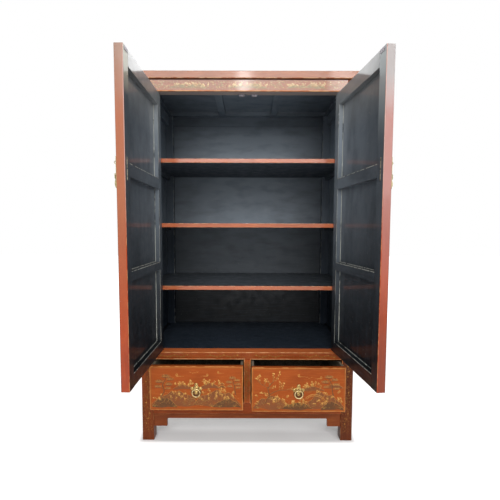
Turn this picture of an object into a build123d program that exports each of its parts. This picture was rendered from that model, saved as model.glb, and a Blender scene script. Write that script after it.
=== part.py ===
from build123d import *

import os
from collections import namedtuple
from math import cos, radians, sin

# A lacquered wedding cabinet: a mortised frame with two pivot doors, three shelves and two
# drawers, shown with its doors open and its drawers drawn out a little.
# Millimetres. +X is the right-hand side seen from the front, +Y runs to the back, +Z is up.
# The origin is on the floor, in the middle of the ground that the cabinet covers with its
# doors open.

# --- Carcass: overall sizes -------------------------------------------------------------
case_width = 1060.0  # over the posts
case_depth = 590.0  # front face of the front posts to back face of the rear posts
case_height = 1812.0  # floor to the top surface

post_width = 58.0  # along X
post_depth = 50.0  # along Y
arris = 2.5  # rounding of the long edges of posts and rails
foot_chamfer = 2.0

# --- Carcass: frame members -------------------------------------------------------------
head_rail_height = 57.0
waist_rail_height = 38.0
bottom_rail_height = 58.0
front_rail_depth = 46.0  # along Y
side_rail_thickness = 30.0  # along X
back_rail_thickness = 24.0  # along Y
waist_level = 457.0  # top of the waist rail
divider_width = 35.0  # short post between the drawers

tenon_length = 20.0
tenon_shoulder = 8.0  # rail left above and below a tenon
front_tenon_inset = 14.0  # rail left before and behind a front rail's tenon
side_tenon_inset = 8.0  # the same for the side rails
back_tenon_inset = 7.0  # the same for the back rails
stub_tenon_length = 12.0  # divider, battens and shelf bearers

# --- Carcass: panels, top, floor --------------------------------------------------------
tongue = 6.0  # how far a panel sits in its grooves
side_panel_thickness = 8.0
side_panel_setback = 2.0  # behind the outer face of the posts
back_panel_thickness = 10.0
back_panel_setback = 6.0  # in front of the back face of the posts

top_thickness = 34.0
top_overhang = 12.0  # beyond the posts at the front and the sides
top_member_width = 62.0
top_panel_thickness = 12.0
top_panel_sink = 1.0  # panel face below the frame's top face
top_tongue = 8.0
top_arris = 3.0
batten_width = 40.0
batten_height = 20.0
batten_spacing = 320.0
post_tenon_inset = 13.0
post_tenon_height = 16.0

floor_thickness = 14.0
floor_drop = 2.0  # floor boards below the top of the waist rail
side_bearer_width = 30.0
centre_bearer_width = 50.0

# --- Shelves ----------------------------------------------------------------------------
lower_shelf_level = 783.0  # top face above the floor
middle_shelf_level = 1098.0
upper_shelf_level = 1416.0
shelf_setback = 43.0  # front face behind the front plane
shelf_rail_depth = 22.0
shelf_rail_height = 20.0
shelf_board_thickness = 14.0
shelf_gap = 1.0  # round a board
shelf_bearer_width = 20.0
shelf_bearer_height = 22.0
shelf_bearer_inset = 18.0  # from the inner face of the posts
shelf_arris = 2.0

# --- Aprons -----------------------------------------------------------------------------
apron_height = 26.0
apron_thickness = 16.0
apron_setback = 5.0  # behind the face of the rail above
bracket_width = 66.0
bracket_drop = 41.0  # below the straight part of the apron
bracket_radius = 9.0  # hollow between bracket and apron

# --- Doors ------------------------------------------------------------------------------
door_thickness = 33.0
door_side_gap = 3.0  # post to hinge stile
door_meeting_gap = 2.0  # between the two leaves
door_end_gap = 2.0  # above and below a leaf
hinge_stile_width = 42.0
meeting_stile_width = 48.0
door_top_rail_height = 61.0
door_bottom_rail_height = 55.0
lower_batten_foot = 871.0  # underside above the floor
lower_batten_height = 38.5
upper_batten_foot = 1262.0
upper_batten_height = 50.0
door_panel_thickness = 10.0
door_panel_setback = 2.0  # behind the outer face of the leaf
door_tenon_length = 24.0
door_tenon_inset = 10.0
door_tenon_shoulder = 12.0
door_batten_inset = 4.0
door_arris = 1.5
hinge_arris = 5.0  # outer edge of the hinge stile, which turns past the post
left_door_opening = 91.6  # degrees from shut
right_door_opening = 97.3

pivot_radius = 8.0
pivot_clearance = 0.1
pivot_inset = 21.0  # from the edge of the hinge stile
pivot_setback = 12.0  # behind the outer face of the leaf
pivot_length = 12.0  # inside its socket
pivot_end_clearance = 0.3
head_socket_extra = 10.0  # room to lift the leaf out of its lower socket

# --- Door fittings ----------------------------------------------------------------------
plate_thickness = 1.6
lock_plate_width = 42.0
lock_plate_height = 114.0
lock_plate_edge = 1.0  # kept back from the leaf's free edge
lock_plate_corner = 13.0
lock_plate_level = 1272.0
lock_eye_level = 1310.0
pull_eye_level = 1266.0
eye_from_edge = 20.0
eye_radius = 5.0  # to the middle of the wire
eye_wire_radius = 1.8
eye_stand = 8.6  # middle of the eye before the face
shank_width = 4.0
shank_clearance = 0.1
leg_thickness = 1.6
leg_length = 20.0
pull_wire_radius = 2.3
pull_loop_radius = 8.0
pull_leaf_width = 20.0
pull_leaf_length = 30.0
pull_leaf_thickness = 3.0
hanging_gap = 0.3  # between a hanging wire and the eye that carries it

strike_width = 30.0
strike_height = 14.0
strike_thickness = 1.5
strike_from_edge = 14.0
strike_from_top = 2.0
catch_width = 26.0
catch_depth = 11.0
catch_height = 10.0
catch_flange_width = 38.0
catch_flange_thickness = 1.5
catch_gap = 0.5  # catch to strike with the door shut

# --- Drawers ----------------------------------------------------------------------------
drawer_opening_height = 222.0
drawer_side_gap = 3.0
drawer_top_gap = 4.5
drawer_bottom_gap = 0.3
drawer_front_thickness = 20.0
drawer_front_arris = 3.0
drawer_lap = 8.0  # front left before the sides
drawer_side_thickness = 12.0
drawer_side_drop = 8.0  # sides below the top of the front
drawer_depth = 500.0
drawer_bottom_thickness = 8.0
drawer_bottom_raise = 8.0
drawer_groove = 5.0
left_drawer_out = 76.0
right_drawer_out = 88.0

runner_height = 22.0
centre_runner_width = 90.0
side_runner_width = 55.0
guide_height = 18.0
guide_clearance = 1.0
side_guide_width = 20.0
stop_length = 15.0
stop_width = 20.0
stop_height = 12.0
stop_clearance = 0.5

ring_wire_radius = 2.3
ring_radius = 18.7
rosette_lobe_radius = 8.6
rosette_lobe_distance = 19.4
rosette_centre_radius = 15.0
rosette_lobes = 4

# --- Places worked out from the sizes ---------------------------------------------------
half_width = case_width / 2
post_inner_x = half_width - post_width
under_top = case_height - top_thickness
head_level = under_top - head_rail_height
drawer_ceiling = waist_level - waist_rail_height
drawer_floor = drawer_ceiling - drawer_opening_height
bottom_rail_under = drawer_floor - bottom_rail_height

shelf_levels = (lower_shelf_level, middle_shelf_level, upper_shelf_level)

leaf_width = (2 * post_inner_x - 2 * door_side_gap - door_meeting_gap) / 2
leaf_reach = leaf_width - pivot_inset  # pivot to free edge
front_y = -(case_depth - (leaf_reach - pivot_setback)) / 2
back_y = front_y + case_depth
front_post_back = front_y + post_depth
rear_post_front = back_y - post_depth
front_rail_back = front_y + front_rail_depth
back_rail_front = back_y - back_rail_thickness
back_panel_back = back_y - back_panel_setback
back_panel_front = back_panel_back - back_panel_thickness
side_rail_inner = half_width - side_rail_thickness
side_panel_outer = half_width - side_panel_setback
side_panel_inner = side_panel_outer - side_panel_thickness

pivot_x = post_inner_x - door_side_gap - pivot_inset
pivot_y = front_y + pivot_setback
door_foot = waist_level + door_end_gap
door_head = head_level - door_end_gap

# The three heights at which rails join the posts: bottom, waist and head.
rail_heights = (
    (bottom_rail_under, drawer_floor),
    (drawer_ceiling, waist_level),
    (head_level, under_top),
)
panel_heights = ((drawer_floor, drawer_ceiling), (waist_level, head_level))

Span = namedtuple("Span", "x y z")  # a block, as its low and high value along each axis
SIDES = {"left": -1, "right": 1}


# --- Ways of making the pieces ----------------------------------------------------------
def add_block(span, mode=Mode.ADD):
    """Adds a rectangular block to the part being built, or takes one away."""
    lows = [min(pair) for pair in span]
    highs = [max(pair) for pair in span]
    middle = tuple((low + high) / 2 for low, high in zip(lows, highs))
    with Locations(middle):
        Box(*[high - low for low, high in zip(lows, highs)], mode=mode)


def meets(one, other):
    """Whether two blocks share any space."""
    return all(min(a) < max(b) and min(b) < max(a) for a, b in zip(one, other))


def cut_in(body, guests):
    """Cuts out of the part being built the space of each block that enters its body."""
    for guest in guests:
        if meets(body, guest):
            add_block(guest, Mode.SUBTRACT)


def tenons(member, axis, length, insets):
    """The two tenon blocks of a member that runs along an axis, 0, 1 or 2."""
    narrowed = []
    for pair, inset in zip(member, insets):
        narrowed.append((min(pair) + inset, max(pair) - inset))
    ends = []
    for end, way in ((min(member[axis]), -1), (max(member[axis]), 1)):
        sides = list(narrowed)
        sides[axis] = (end, end + way * length)
        ends.append(Span(*sides))
    return ends


def mirrored(span):
    """The same block on the other side of the middle plane."""
    return Span((-span.x[1], -span.x[0]), span.y, span.z)


def on_side(side, span):
    """A block given for the right-hand side, put on the named side."""
    return span if side == "right" else mirrored(span)


def write(piece, name):
    """Names a finished piece and writes its file."""
    piece.part.label = name
    export_step(piece.part, f"parts/{name}.step")


def write_group(pieces, name):
    """Writes pieces that touch one another as separate solids in one file."""
    group = Compound(label=name, children=[piece.part for piece in pieces])
    export_step(group, f"parts/{name}.step")


os.makedirs("parts", exist_ok=True)

# --- Frame members as blocks, with their tenons -----------------------------------------
front_rails = [
    Span((-post_inner_x, post_inner_x), (front_y, front_rail_back), heights)
    for heights in rail_heights
]
back_rails = [
    Span((-post_inner_x, post_inner_x), (back_rail_front, back_y), heights)
    for heights in rail_heights
]
side_rails = {
    side: [
        on_side(
            side,
            Span((side_rail_inner, half_width), (front_post_back, rear_post_front), heights),
        )
        for heights in rail_heights
    ]
    for side in SIDES
}
shelf_bearers = {
    side: [
        on_side(
            side,
            Span(
                (
                    post_inner_x + shelf_bearer_inset,
                    post_inner_x + shelf_bearer_inset + shelf_bearer_width,
                ),
                (front_post_back, rear_post_front),
                (
                    level - shelf_board_thickness - shelf_bearer_height,
                    level - shelf_board_thickness,
                ),
            ),
        )
        for level in shelf_levels
    ]
    for side in SIDES
}
divider = Span(
    (-divider_width / 2, divider_width / 2),
    (front_y, front_rail_back),
    (drawer_floor, drawer_ceiling),
)

front_rail_insets = (0, front_tenon_inset, tenon_shoulder)
side_rail_insets = (side_tenon_inset, 0, tenon_shoulder)
back_rail_insets = (0, back_tenon_inset, tenon_shoulder)
divider_insets = (tenon_shoulder, front_tenon_inset, 0)
bearer_insets = (shelf_bearer_width / 4, 0, shelf_bearer_height / 4)  # the middle half

# --- Panels as blocks, with their tongues -----------------------------------------------
side_panels = {
    side: [
        on_side(
            side,
            Span(
                (side_panel_inner, side_panel_outer),
                (front_post_back - tongue, rear_post_front + tongue),
                (low - tongue, high + tongue),
            ),
        )
        for low, high in panel_heights
    ]
    for side in SIDES
}
back_panels = [
    Span(
        (-post_inner_x - tongue, post_inner_x + tongue),
        (back_panel_front, back_panel_back),
        (low - tongue, high + tongue),
    )
    for low, high in panel_heights
]
all_panels = side_panels["left"] + side_panels["right"] + back_panels


def rail_tenons():
    """Every tenon that enters a post."""
    found = []
    for rail in front_rails:
        found += tenons(rail, 0, tenon_length, front_rail_insets)
    for rail in back_rails:
        found += tenons(rail, 0, tenon_length, back_rail_insets)
    for side in SIDES:
        for rail in side_rails[side]:
            found += tenons(rail, 1, tenon_length, side_rail_insets)
        for bearer in shelf_bearers[side]:
            found += tenons(bearer, 1, stub_tenon_length, bearer_insets)
    return found


# --- Posts ------------------------------------------------------------------------------
def post_block(side, front):
    """The block of one corner post."""
    depth = (front_y, front_post_back) if front else (rear_post_front, back_y)
    return on_side(side, Span((post_inner_x, half_width), depth, (0, under_top)))


def post_top_tenon(post):
    """The stub tenon on top of a post, which enters the top frame."""
    return Span(
        (post.x[0] + post_tenon_inset, post.x[1] - post_tenon_inset),
        (post.y[0] + post_tenon_inset, post.y[1] - post_tenon_inset),
        (under_top, under_top + post_tenon_height),
    )


posts = {
    f"{place}_{side}_post": post_block(side, place == "front")
    for place in ("front", "rear")
    for side in SIDES
}
for name, block in posts.items():
    with BuildPart() as post:
        add_block(block)
        fillet(post.edges().filter_by(Axis.Z), arris)
        chamfer(post.faces().sort_by(Axis.Z)[0].edges(), foot_chamfer)
        cut_in(block, rail_tenons() + all_panels)
        add_block(post_top_tenon(block))
    write(post, name)

# --- Front rails and the drawer divider -------------------------------------------------
door_pivots = [(-pivot_x, pivot_y), (pivot_x, pivot_y)]
front_rail_names = ("bottom_rail", "waist_rail", "head_rail")
for name, block in zip(front_rail_names, front_rails):
    with BuildPart() as rail:
        add_block(block)
        fillet(rail.edges().filter_by(Axis.X).group_by(Axis.Y)[0], arris)
        for end in tenons(block, 0, tenon_length, front_rail_insets):
            add_block(end)
        cut_in(block, tenons(divider, 2, stub_tenon_length, divider_insets))
        if name == "waist_rail":
            with BuildSketch(Plane.XY.offset(waist_level)):
                with Locations(*door_pivots):
                    Circle(pivot_radius + pivot_clearance)
            extrude(amount=-pivot_length - pivot_end_clearance, mode=Mode.SUBTRACT)
        if name == "head_rail":
            with BuildSketch(Plane.XY.offset(head_level)):
                with Locations(*door_pivots):
                    Circle(pivot_radius + pivot_clearance)
            extrude(amount=pivot_length + head_socket_extra, mode=Mode.SUBTRACT)
    write(rail, name)

with BuildPart() as drawer_divider:
    add_block(divider)
    fillet(drawer_divider.edges().filter_by(Axis.Z).group_by(Axis.Y)[0], arris)
    for end in tenons(divider, 2, stub_tenon_length, divider_insets):
        add_block(end)
write(drawer_divider, "drawer_divider")

# --- Side and back rails ----------------------------------------------------------------
for side in SIDES:
    with BuildPart() as rails:
        for block in side_rails[side]:
            add_block(block)
            for end in tenons(block, 1, tenon_length, side_rail_insets):
                add_block(end)
            cut_in(block, side_panels[side])
    write(rails, f"{side}_side_rails")

with BuildPart() as rear_rails:
    for block in back_rails:
        add_block(block)
        for end in tenons(block, 0, tenon_length, back_rail_insets):
            add_block(end)
        cut_in(block, back_panels)
write(rear_rails, "back_rails")

# --- Panels -----------------------------------------------------------------------------
for side in SIDES:
    with BuildPart() as panels:
        for block in side_panels[side]:
            add_block(block)
    write(panels, f"{side}_side_panels")

for name, block in zip(("lower_back_panel", "upper_back_panel"), back_panels):
    with BuildPart() as panel:
        add_block(block)
    write(panel, name)

# --- Aprons with stepped brackets -------------------------------------------------------
def apron_outline(length):
    """The face of an apron: half is drawn from the middle out to one end, then mirrored."""
    end = length / 2
    shoulder = end - bracket_width
    bracket_foot = -apron_height - bracket_drop
    hollow_start = -apron_height - bracket_radius
    with BuildLine() as outline:
        Polyline(
            (0, 0),
            (end, 0),
            (end, bracket_foot),
            (shoulder, bracket_foot),
            (shoulder, hollow_start),
        )
        TangentArc(
            (shoulder, hollow_start), (shoulder - bracket_radius, -apron_height), tangent=(0, 1)
        )
        Line((shoulder - bracket_radius, -apron_height), (0, -apron_height))
        mirror(about=Plane.YZ)
    make_face(outline.edges())


front_apron_plane = Plane(
    origin=(0, front_y + apron_setback + apron_thickness, bottom_rail_under),
    x_dir=(1, 0, 0),
    z_dir=(0, -1, 0),
)
with BuildPart() as front_apron:
    with BuildSketch(front_apron_plane):
        apron_outline(2 * post_inner_x)
    extrude(amount=apron_thickness)
write(front_apron, "front_apron")

with BuildPart() as side_aprons:
    for way in SIDES.values():
        inner_x = half_width - apron_setback - apron_thickness
        side_plane = Plane(
            origin=(way * inner_x, (front_post_back + rear_post_front) / 2, bottom_rail_under),
            x_dir=(0, way, 0),
            z_dir=(way, 0, 0),
        )
        with BuildSketch(side_plane):
            apron_outline(rear_post_front - front_post_back)
        extrude(amount=apron_thickness)
write(side_aprons, "side_aprons")

# --- Top: mitred frame, panel and battens -----------------------------------------------
top_outer_x = half_width + top_overhang
top_front = front_y - top_overhang
top_inner_x = top_outer_x - top_member_width
top_inner_front = top_front + top_member_width
top_inner_back = back_y - top_member_width
outer_corners = [
    (-top_outer_x, top_front),
    (top_outer_x, top_front),
    (top_outer_x, back_y),
    (-top_outer_x, back_y),
]
inner_corners = [
    (-top_inner_x, top_inner_front),
    (top_inner_x, top_inner_front),
    (top_inner_x, top_inner_back),
    (-top_inner_x, top_inner_back),
]
panel_top = case_height - top_panel_sink
panel_under = panel_top - top_panel_thickness
top_panel_block = Span(
    (-top_inner_x - top_tongue, top_inner_x + top_tongue),
    (top_inner_front - top_tongue, top_inner_back + top_tongue),
    (panel_under, panel_top),
)
top_battens = [
    Span(
        (centre - batten_width / 2, centre + batten_width / 2),
        (top_inner_front, top_inner_back),
        (panel_under - batten_height, panel_under),
    )
    for centre in (-batten_spacing / 2, batten_spacing / 2)
]
batten_insets = (tenon_shoulder, 0, batten_height / 4)  # the middle half of its height
batten_tenons = [
    end
    for batten in top_battens
    for end in tenons(batten, 1, stub_tenon_length, batten_insets)
]

members = []
for number, outer_corner in enumerate(outer_corners):
    following = (number + 1) % len(outer_corners)
    ends = [
        outer_corner,
        outer_corners[following],
        inner_corners[following],
        inner_corners[number],
    ]
    reach = Span(
        (min(x for x, y in ends), max(x for x, y in ends)),
        (min(y for x, y in ends), max(y for x, y in ends)),
        (under_top, case_height),
    )
    with BuildPart() as top_member:
        with BuildSketch(Plane.XY.offset(under_top)):
            with BuildLine():
                Polyline(*ends, close=True)
            make_face()
        extrude(amount=top_thickness)
        outer_face = top_member.faces().filter_by(Axis.Z, reverse=True).sort_by(SortBy.AREA)[-1]
        fillet(outer_face.edges().filter_by(Axis.Z, reverse=True), top_arris)
        cut_in(reach, [top_panel_block] + batten_tenons)
        cut_in(reach, [post_top_tenon(block) for block in posts.values()])
    members.append(top_member)
write_group(members, "top_frame")

with BuildPart() as top_panel:
    add_block(top_panel_block)
write(top_panel, "top_panel")

with BuildPart() as battens:
    for block in top_battens:
        add_block(block)
    for block in batten_tenons:
        add_block(block)
write(battens, "top_battens")

# --- Cabinet floor and the bearers under it ---------------------------------------------
floor_top = waist_level - floor_drop
floor_under = floor_top - floor_thickness
with BuildPart() as cabinet_floor:
    add_block(
        Span(
            (-post_inner_x, post_inner_x),
            (front_rail_back, back_rail_front),
            (floor_under, floor_top),
        )
    )
    add_block(
        Span(
            (-side_rail_inner, side_rail_inner),
            (front_post_back, rear_post_front),
            (floor_under, floor_top),
        )
    )
write(cabinet_floor, "cabinet_floor")

with BuildPart() as floor_bearers:
    add_block(
        Span(
            (-centre_bearer_width / 2, centre_bearer_width / 2),
            (front_rail_back, back_rail_front),
            (drawer_ceiling, floor_under),
        )
    )
    for side in SIDES:
        add_block(
            on_side(
                side,
                Span(
                    (side_rail_inner - side_bearer_width, side_rail_inner),
                    (front_post_back, rear_post_front),
                    (drawer_ceiling, floor_under),
                ),
            )
        )
write(floor_bearers, "floor_bearers")

# --- Shelves ----------------------------------------------------------------------------
shelf_front = front_y + shelf_setback
shelf_board_front = shelf_front + shelf_rail_depth
shelf_names = ("lower_shelf", "middle_shelf", "upper_shelf")
for name, level in zip(shelf_names, shelf_levels):
    heights = (level - shelf_board_thickness, level)
    with BuildPart() as shelf:
        add_block(
            Span(
                (-post_inner_x + shelf_gap, post_inner_x - shelf_gap),
                (shelf_board_front, back_panel_front - shelf_gap),
                heights,
            )
        )
        add_block(
            Span(
                (-side_panel_inner + shelf_gap, side_panel_inner - shelf_gap),
                (shelf_board_front, rear_post_front - shelf_gap),
                heights,
            )
        )
    write(shelf, name)

with BuildPart() as shelf_front_rails:
    for level in shelf_levels:
        add_block(
            Span(
                (-post_inner_x + shelf_gap, post_inner_x - shelf_gap),
                (shelf_front, shelf_board_front),
                (level - shelf_rail_height, level),
            )
        )
    long_edges = shelf_front_rails.edges().filter_by(Axis.X)
    fillet(long_edges.group_by(Axis.Y)[0], shelf_arris)
write(shelf_front_rails, "shelf_front_rails")

with BuildPart() as bearers:
    for side in SIDES:
        for block in shelf_bearers[side]:
            add_block(block)
            for end in tenons(block, 1, stub_tenon_length, bearer_insets):
                add_block(end)
write(bearers, "shelf_bearers")

# --- Drawer runners, guides and stops ---------------------------------------------------
runner_heights = (drawer_floor - runner_height, drawer_floor)
with BuildPart() as drawer_runners:
    add_block(
        Span(
            (-centre_runner_width / 2, centre_runner_width / 2),
            (front_rail_back, back_rail_front),
            runner_heights,
        )
    )
    for side in SIDES:
        add_block(
            on_side(
                side,
                Span(
                    (side_rail_inner - side_runner_width, side_rail_inner),
                    (front_post_back, rear_post_front),
                    runner_heights,
                ),
            )
        )
write(drawer_runners, "drawer_runners")

drawer_inner_x = divider_width / 2 + drawer_side_gap  # end of a front next to the divider
drawer_outer_x = post_inner_x - drawer_side_gap  # end of a front next to the post
guide_inner_x = drawer_outer_x + guide_clearance
stop_front = front_y + drawer_depth + stop_clearance
with BuildPart() as drawer_guides:
    add_block(
        Span(
            (guide_clearance - drawer_inner_x, drawer_inner_x - guide_clearance),
            (front_rail_back, back_rail_front),
            (drawer_floor, drawer_floor + guide_height),
        )
    )
    for side in SIDES:
        add_block(
            on_side(
                side,
                Span(
                    (guide_inner_x, guide_inner_x + side_guide_width),
                    (front_post_back, rear_post_front),
                    (drawer_floor, drawer_floor + guide_height),
                ),
            )
        )
        for stop_x in (drawer_inner_x + guide_clearance, drawer_outer_x - stop_width):
            add_block(
                on_side(
                    side,
                    Span(
                        (stop_x, stop_x + stop_width),
                        (stop_front, stop_front + stop_length),
                        (drawer_floor, drawer_floor + stop_height),
                    ),
                )
            )
write(drawer_guides, "drawer_guides")

# --- Door catches under the head rail ---------------------------------------------------
catch_x = door_meeting_gap / 2 + strike_from_edge + strike_width / 2
catch_front = front_y + door_thickness + strike_thickness + catch_gap
with BuildPart() as door_catches:
    for way in SIDES.values():
        for width, height in (
            (catch_width, catch_height),
            (catch_flange_width, catch_flange_thickness),
        ):
            add_block(
                Span(
                    (way * catch_x - width / 2, way * catch_x + width / 2),
                    (catch_front, catch_front + catch_depth),
                    (head_level - height, head_level),
                )
            )
write(door_catches, "door_catches")


# --- Wire eyes, pulls and plates, made on a face that looks outwards --------------------
def add_eye_pin(height, wood_thickness):
    """A split pin: an eye in front of the face, a shank through the wood, two bent legs."""
    with Locations(Location((0, height, eye_stand), (0, 90, 0))):
        Torus(eye_radius, eye_wire_radius)
    half_shank = shank_width / 2
    add_block(
        Span(
            (-half_shank, half_shank),
            (height - half_shank, height + half_shank),
            (-wood_thickness - leg_thickness, eye_stand - eye_radius),
        )
    )
    add_block(
        Span(
            (-half_shank, half_shank),
            (height - leg_length, height + leg_length),
            (-wood_thickness - leg_thickness, -wood_thickness),
        )
    )


def hanging_drop(wire_radius):
    """How far a hanging wire's middle lies below the middle of its eye."""
    return eye_radius - eye_wire_radius - wire_radius - hanging_gap


# --- Doors ------------------------------------------------------------------------------
def leaf_plane(side):
    """The plane of an open leaf: origin on its pivot, X to its free edge, on the floor."""
    way = SIDES[side]
    opening = radians(left_door_opening if side == "left" else right_door_opening)
    return Plane(
        origin=(way * pivot_x, pivot_y, 0),
        x_dir=(-way * cos(opening), -sin(opening), 0),
        z_dir=(0, 0, 1),
    )


def leaf_span(side, along, inward, heights):
    """A block of a leaf, from its distances along the leaf and inwards from its pivot."""
    if side == "right":
        inward = (-inward[1], -inward[0])
    return Span(along, inward, heights)


def outer_face(side, level):
    """The outer face of a leaf at its eyes: X across, Y up, Z outwards."""
    plane = leaf_plane(side)
    way = -SIDES[side]
    outward = plane.y_dir * -way
    return Plane(
        origin=plane.origin
        + plane.x_dir * (leaf_reach - eye_from_edge)
        + outward * pivot_setback
        + Vector(0, 0, level),
        x_dir=plane.x_dir * way,
        z_dir=outward,
    )


leaf_start = -pivot_inset
leaf_outer = -pivot_setback
leaf_inner = door_thickness - pivot_setback
hinge_stile_end = leaf_start + hinge_stile_width
meeting_stile_start = leaf_reach - meeting_stile_width
door_panel_outer = leaf_outer + door_panel_setback
door_panel_inner = door_panel_outer + door_panel_thickness
door_rail_heights = {
    "top_rail": (door_head - door_top_rail_height, door_head),
    "bottom_rail": (door_foot, door_foot + door_bottom_rail_height),
}
door_rail_insets = (0, door_tenon_inset, door_tenon_shoulder)
door_batten_insets = (0, door_batten_inset, door_batten_inset)


def make_stile(side, along, guests, hinge):
    """A door stile: a bar with rounded edges, and its pivots if it is the hinge stile."""
    plane = leaf_plane(side)
    block = leaf_span(side, along, (leaf_outer, leaf_inner), (door_foot, door_head))
    with BuildPart(plane) as stile:
        with BuildSketch(plane.offset(door_foot)) as section:
            with Locations((sum(block.x) / 2, sum(block.y) / 2)):
                Rectangle(block.x[1] - block.x[0], block.y[1] - block.y[0])
            corners = section.vertices().sort_by(Axis.X)
            if hinge:
                rising = corners[:2].sort_by(Axis.Y)
                outer_corner = rising[0] if side == "left" else rising[1]
                others = [corner for corner in corners if corner != outer_corner]
                fillet(outer_corner, hinge_arris)
                fillet(others, door_arris)
            else:
                fillet(corners, door_arris)
        extrude(amount=door_head - door_foot)
        cut_in(block, guests)
        if hinge:
            for level, way in ((door_head, 1), (door_foot, -1)):
                with BuildSketch(plane.offset(level)):
                    Circle(pivot_radius)
                extrude(amount=way * (door_end_gap + pivot_length))
    return stile


def make_plate(side):
    """Half of the scalloped plate that the two leaves carry between them."""
    way = -SIDES[side]
    face = outer_face(side, lock_plate_level)
    outer_x = eye_from_edge - lock_plate_edge
    inner_x = outer_x - lock_plate_width
    with BuildPart(face) as plate:
        with BuildSketch(face):
            with Locations((way * (outer_x + inner_x) / 2, 0)):
                Rectangle(lock_plate_width, lock_plate_height)
            with Locations(
                (way * inner_x, lock_plate_height / 2),
                (way * inner_x, -lock_plate_height / 2),
            ):
                Circle(lock_plate_corner, mode=Mode.SUBTRACT)
            with Locations(
                (0, lock_eye_level - lock_plate_level),
                (0, pull_eye_level - lock_plate_level),
            ):
                hole = shank_width + 2 * shank_clearance
                Rectangle(hole, hole, mode=Mode.SUBTRACT)
        extrude(amount=plate_thickness)
    return plate


def make_pull(side):
    """A wire loop through the lower eye, with a flat leaf below it."""
    face = outer_face(side, pull_eye_level)
    loop_middle = -hanging_drop(pull_wire_radius) - pull_loop_radius
    leaf_top = loop_middle - pull_loop_radius
    leaf_tip = leaf_top - pull_leaf_length
    with BuildPart(face) as pull:
        with Locations((0, loop_middle, eye_stand)):
            Torus(pull_loop_radius, pull_wire_radius)
        with BuildSketch(face.offset(eye_stand - pull_leaf_thickness / 2)):
            with BuildLine():
                for edge_x in (-pull_leaf_width / 2, pull_leaf_width / 2):
                    ThreePointArc(
                        (0, leaf_top), (edge_x, (leaf_top + leaf_tip) / 2), (0, leaf_tip)
                    )
            make_face()
        extrude(amount=pull_leaf_thickness)
    return pull


for side in SIDES:
    plane = leaf_plane(side)
    rails = {
        name: leaf_span(
            side, (hinge_stile_end, meeting_stile_start), (leaf_outer, leaf_inner), heights
        )
        for name, heights in door_rail_heights.items()
    }
    door_battens = [
        leaf_span(
            side,
            (hinge_stile_end, meeting_stile_start),
            (door_panel_inner, leaf_inner),
            heights,
        )
        for heights in (
            (lower_batten_foot, lower_batten_foot + lower_batten_height),
            (upper_batten_foot, upper_batten_foot + upper_batten_height),
        )
    ]
    door_panel = leaf_span(
        side,
        (hinge_stile_end - tongue, meeting_stile_start + tongue),
        (door_panel_outer, door_panel_inner),
        (
            door_rail_heights["bottom_rail"][1] - tongue,
            door_rail_heights["top_rail"][0] + tongue,
        ),
    )
    entering = [door_panel]
    for block in rails.values():
        entering += tenons(block, 0, door_tenon_length, door_rail_insets)
    for block in door_battens:
        entering += tenons(block, 0, stub_tenon_length, door_batten_insets)
    half_hole = shank_width / 2 + shank_clearance
    eye_x = leaf_reach - eye_from_edge
    shank_holes = [
        leaf_span(
            side,
            (eye_x - half_hole, eye_x + half_hole),
            (leaf_outer, leaf_inner),
            (level - half_hole, level + half_hole),
        )
        for level in (lock_eye_level, pull_eye_level)
    ]

    hinge_stile = make_stile(side, (leaf_start, hinge_stile_end), entering, hinge=True)
    write(hinge_stile, f"{side}_door_hinge_stile")
    meeting_stile = make_stile(
        side, (meeting_stile_start, leaf_reach), entering + shank_holes, hinge=False
    )
    write(meeting_stile, f"{side}_door_meeting_stile")

    for name, block in rails.items():
        with BuildPart(plane) as rail:
            add_block(block)
            along_leaf = Axis((0, 0, 0), plane.x_dir)
            fillet(rail.edges().filter_by(along_leaf), door_arris)
            for end in tenons(block, 0, door_tenon_length, door_rail_insets):
                add_block(end)
            cut_in(block, [door_panel])
        write(rail, f"{side}_door_{name}")

    with BuildPart(plane) as battens:
        for block in door_battens:
            add_block(block)
            for end in tenons(block, 0, stub_tenon_length, door_batten_insets):
                add_block(end)
    write(battens, f"{side}_door_battens")

    with BuildPart(plane) as panel:
        add_block(door_panel)
    write(panel, f"{side}_door_panel")

    write(make_plate(side), f"{side}_lock_plate")
    with BuildPart(outer_face(side, lock_plate_level)) as eye_pins:
        for level in (lock_eye_level, pull_eye_level):
            add_eye_pin(level - lock_plate_level, door_thickness)
    write(eye_pins, f"{side}_eye_pins")
    write(make_pull(side), f"{side}_door_pull")

    strike_start = leaf_reach - strike_from_edge - strike_width
    strike_top = door_head - strike_from_top
    with BuildPart(plane) as strike:
        add_block(
            leaf_span(
                side,
                (strike_start, strike_start + strike_width),
                (leaf_inner, leaf_inner + strike_thickness),
                (strike_top - strike_height, strike_top),
            )
        )
    write(strike, f"{side}_door_strike")

# --- Drawers ----------------------------------------------------------------------------
drawer_foot = drawer_floor + drawer_bottom_gap
drawer_head = drawer_ceiling - drawer_top_gap
drawer_eye_level = (drawer_foot + drawer_head) / 2


def rosette_face(side, out):
    """The face of a drawer front at its pull: X across, Y up, Z outwards."""
    middle = (drawer_inner_x + drawer_outer_x) / 2
    return Plane(
        origin=(SIDES[side] * middle, front_y - out, drawer_eye_level),
        x_dir=(1, 0, 0),
        z_dir=(0, -1, 0),
    )


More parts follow.
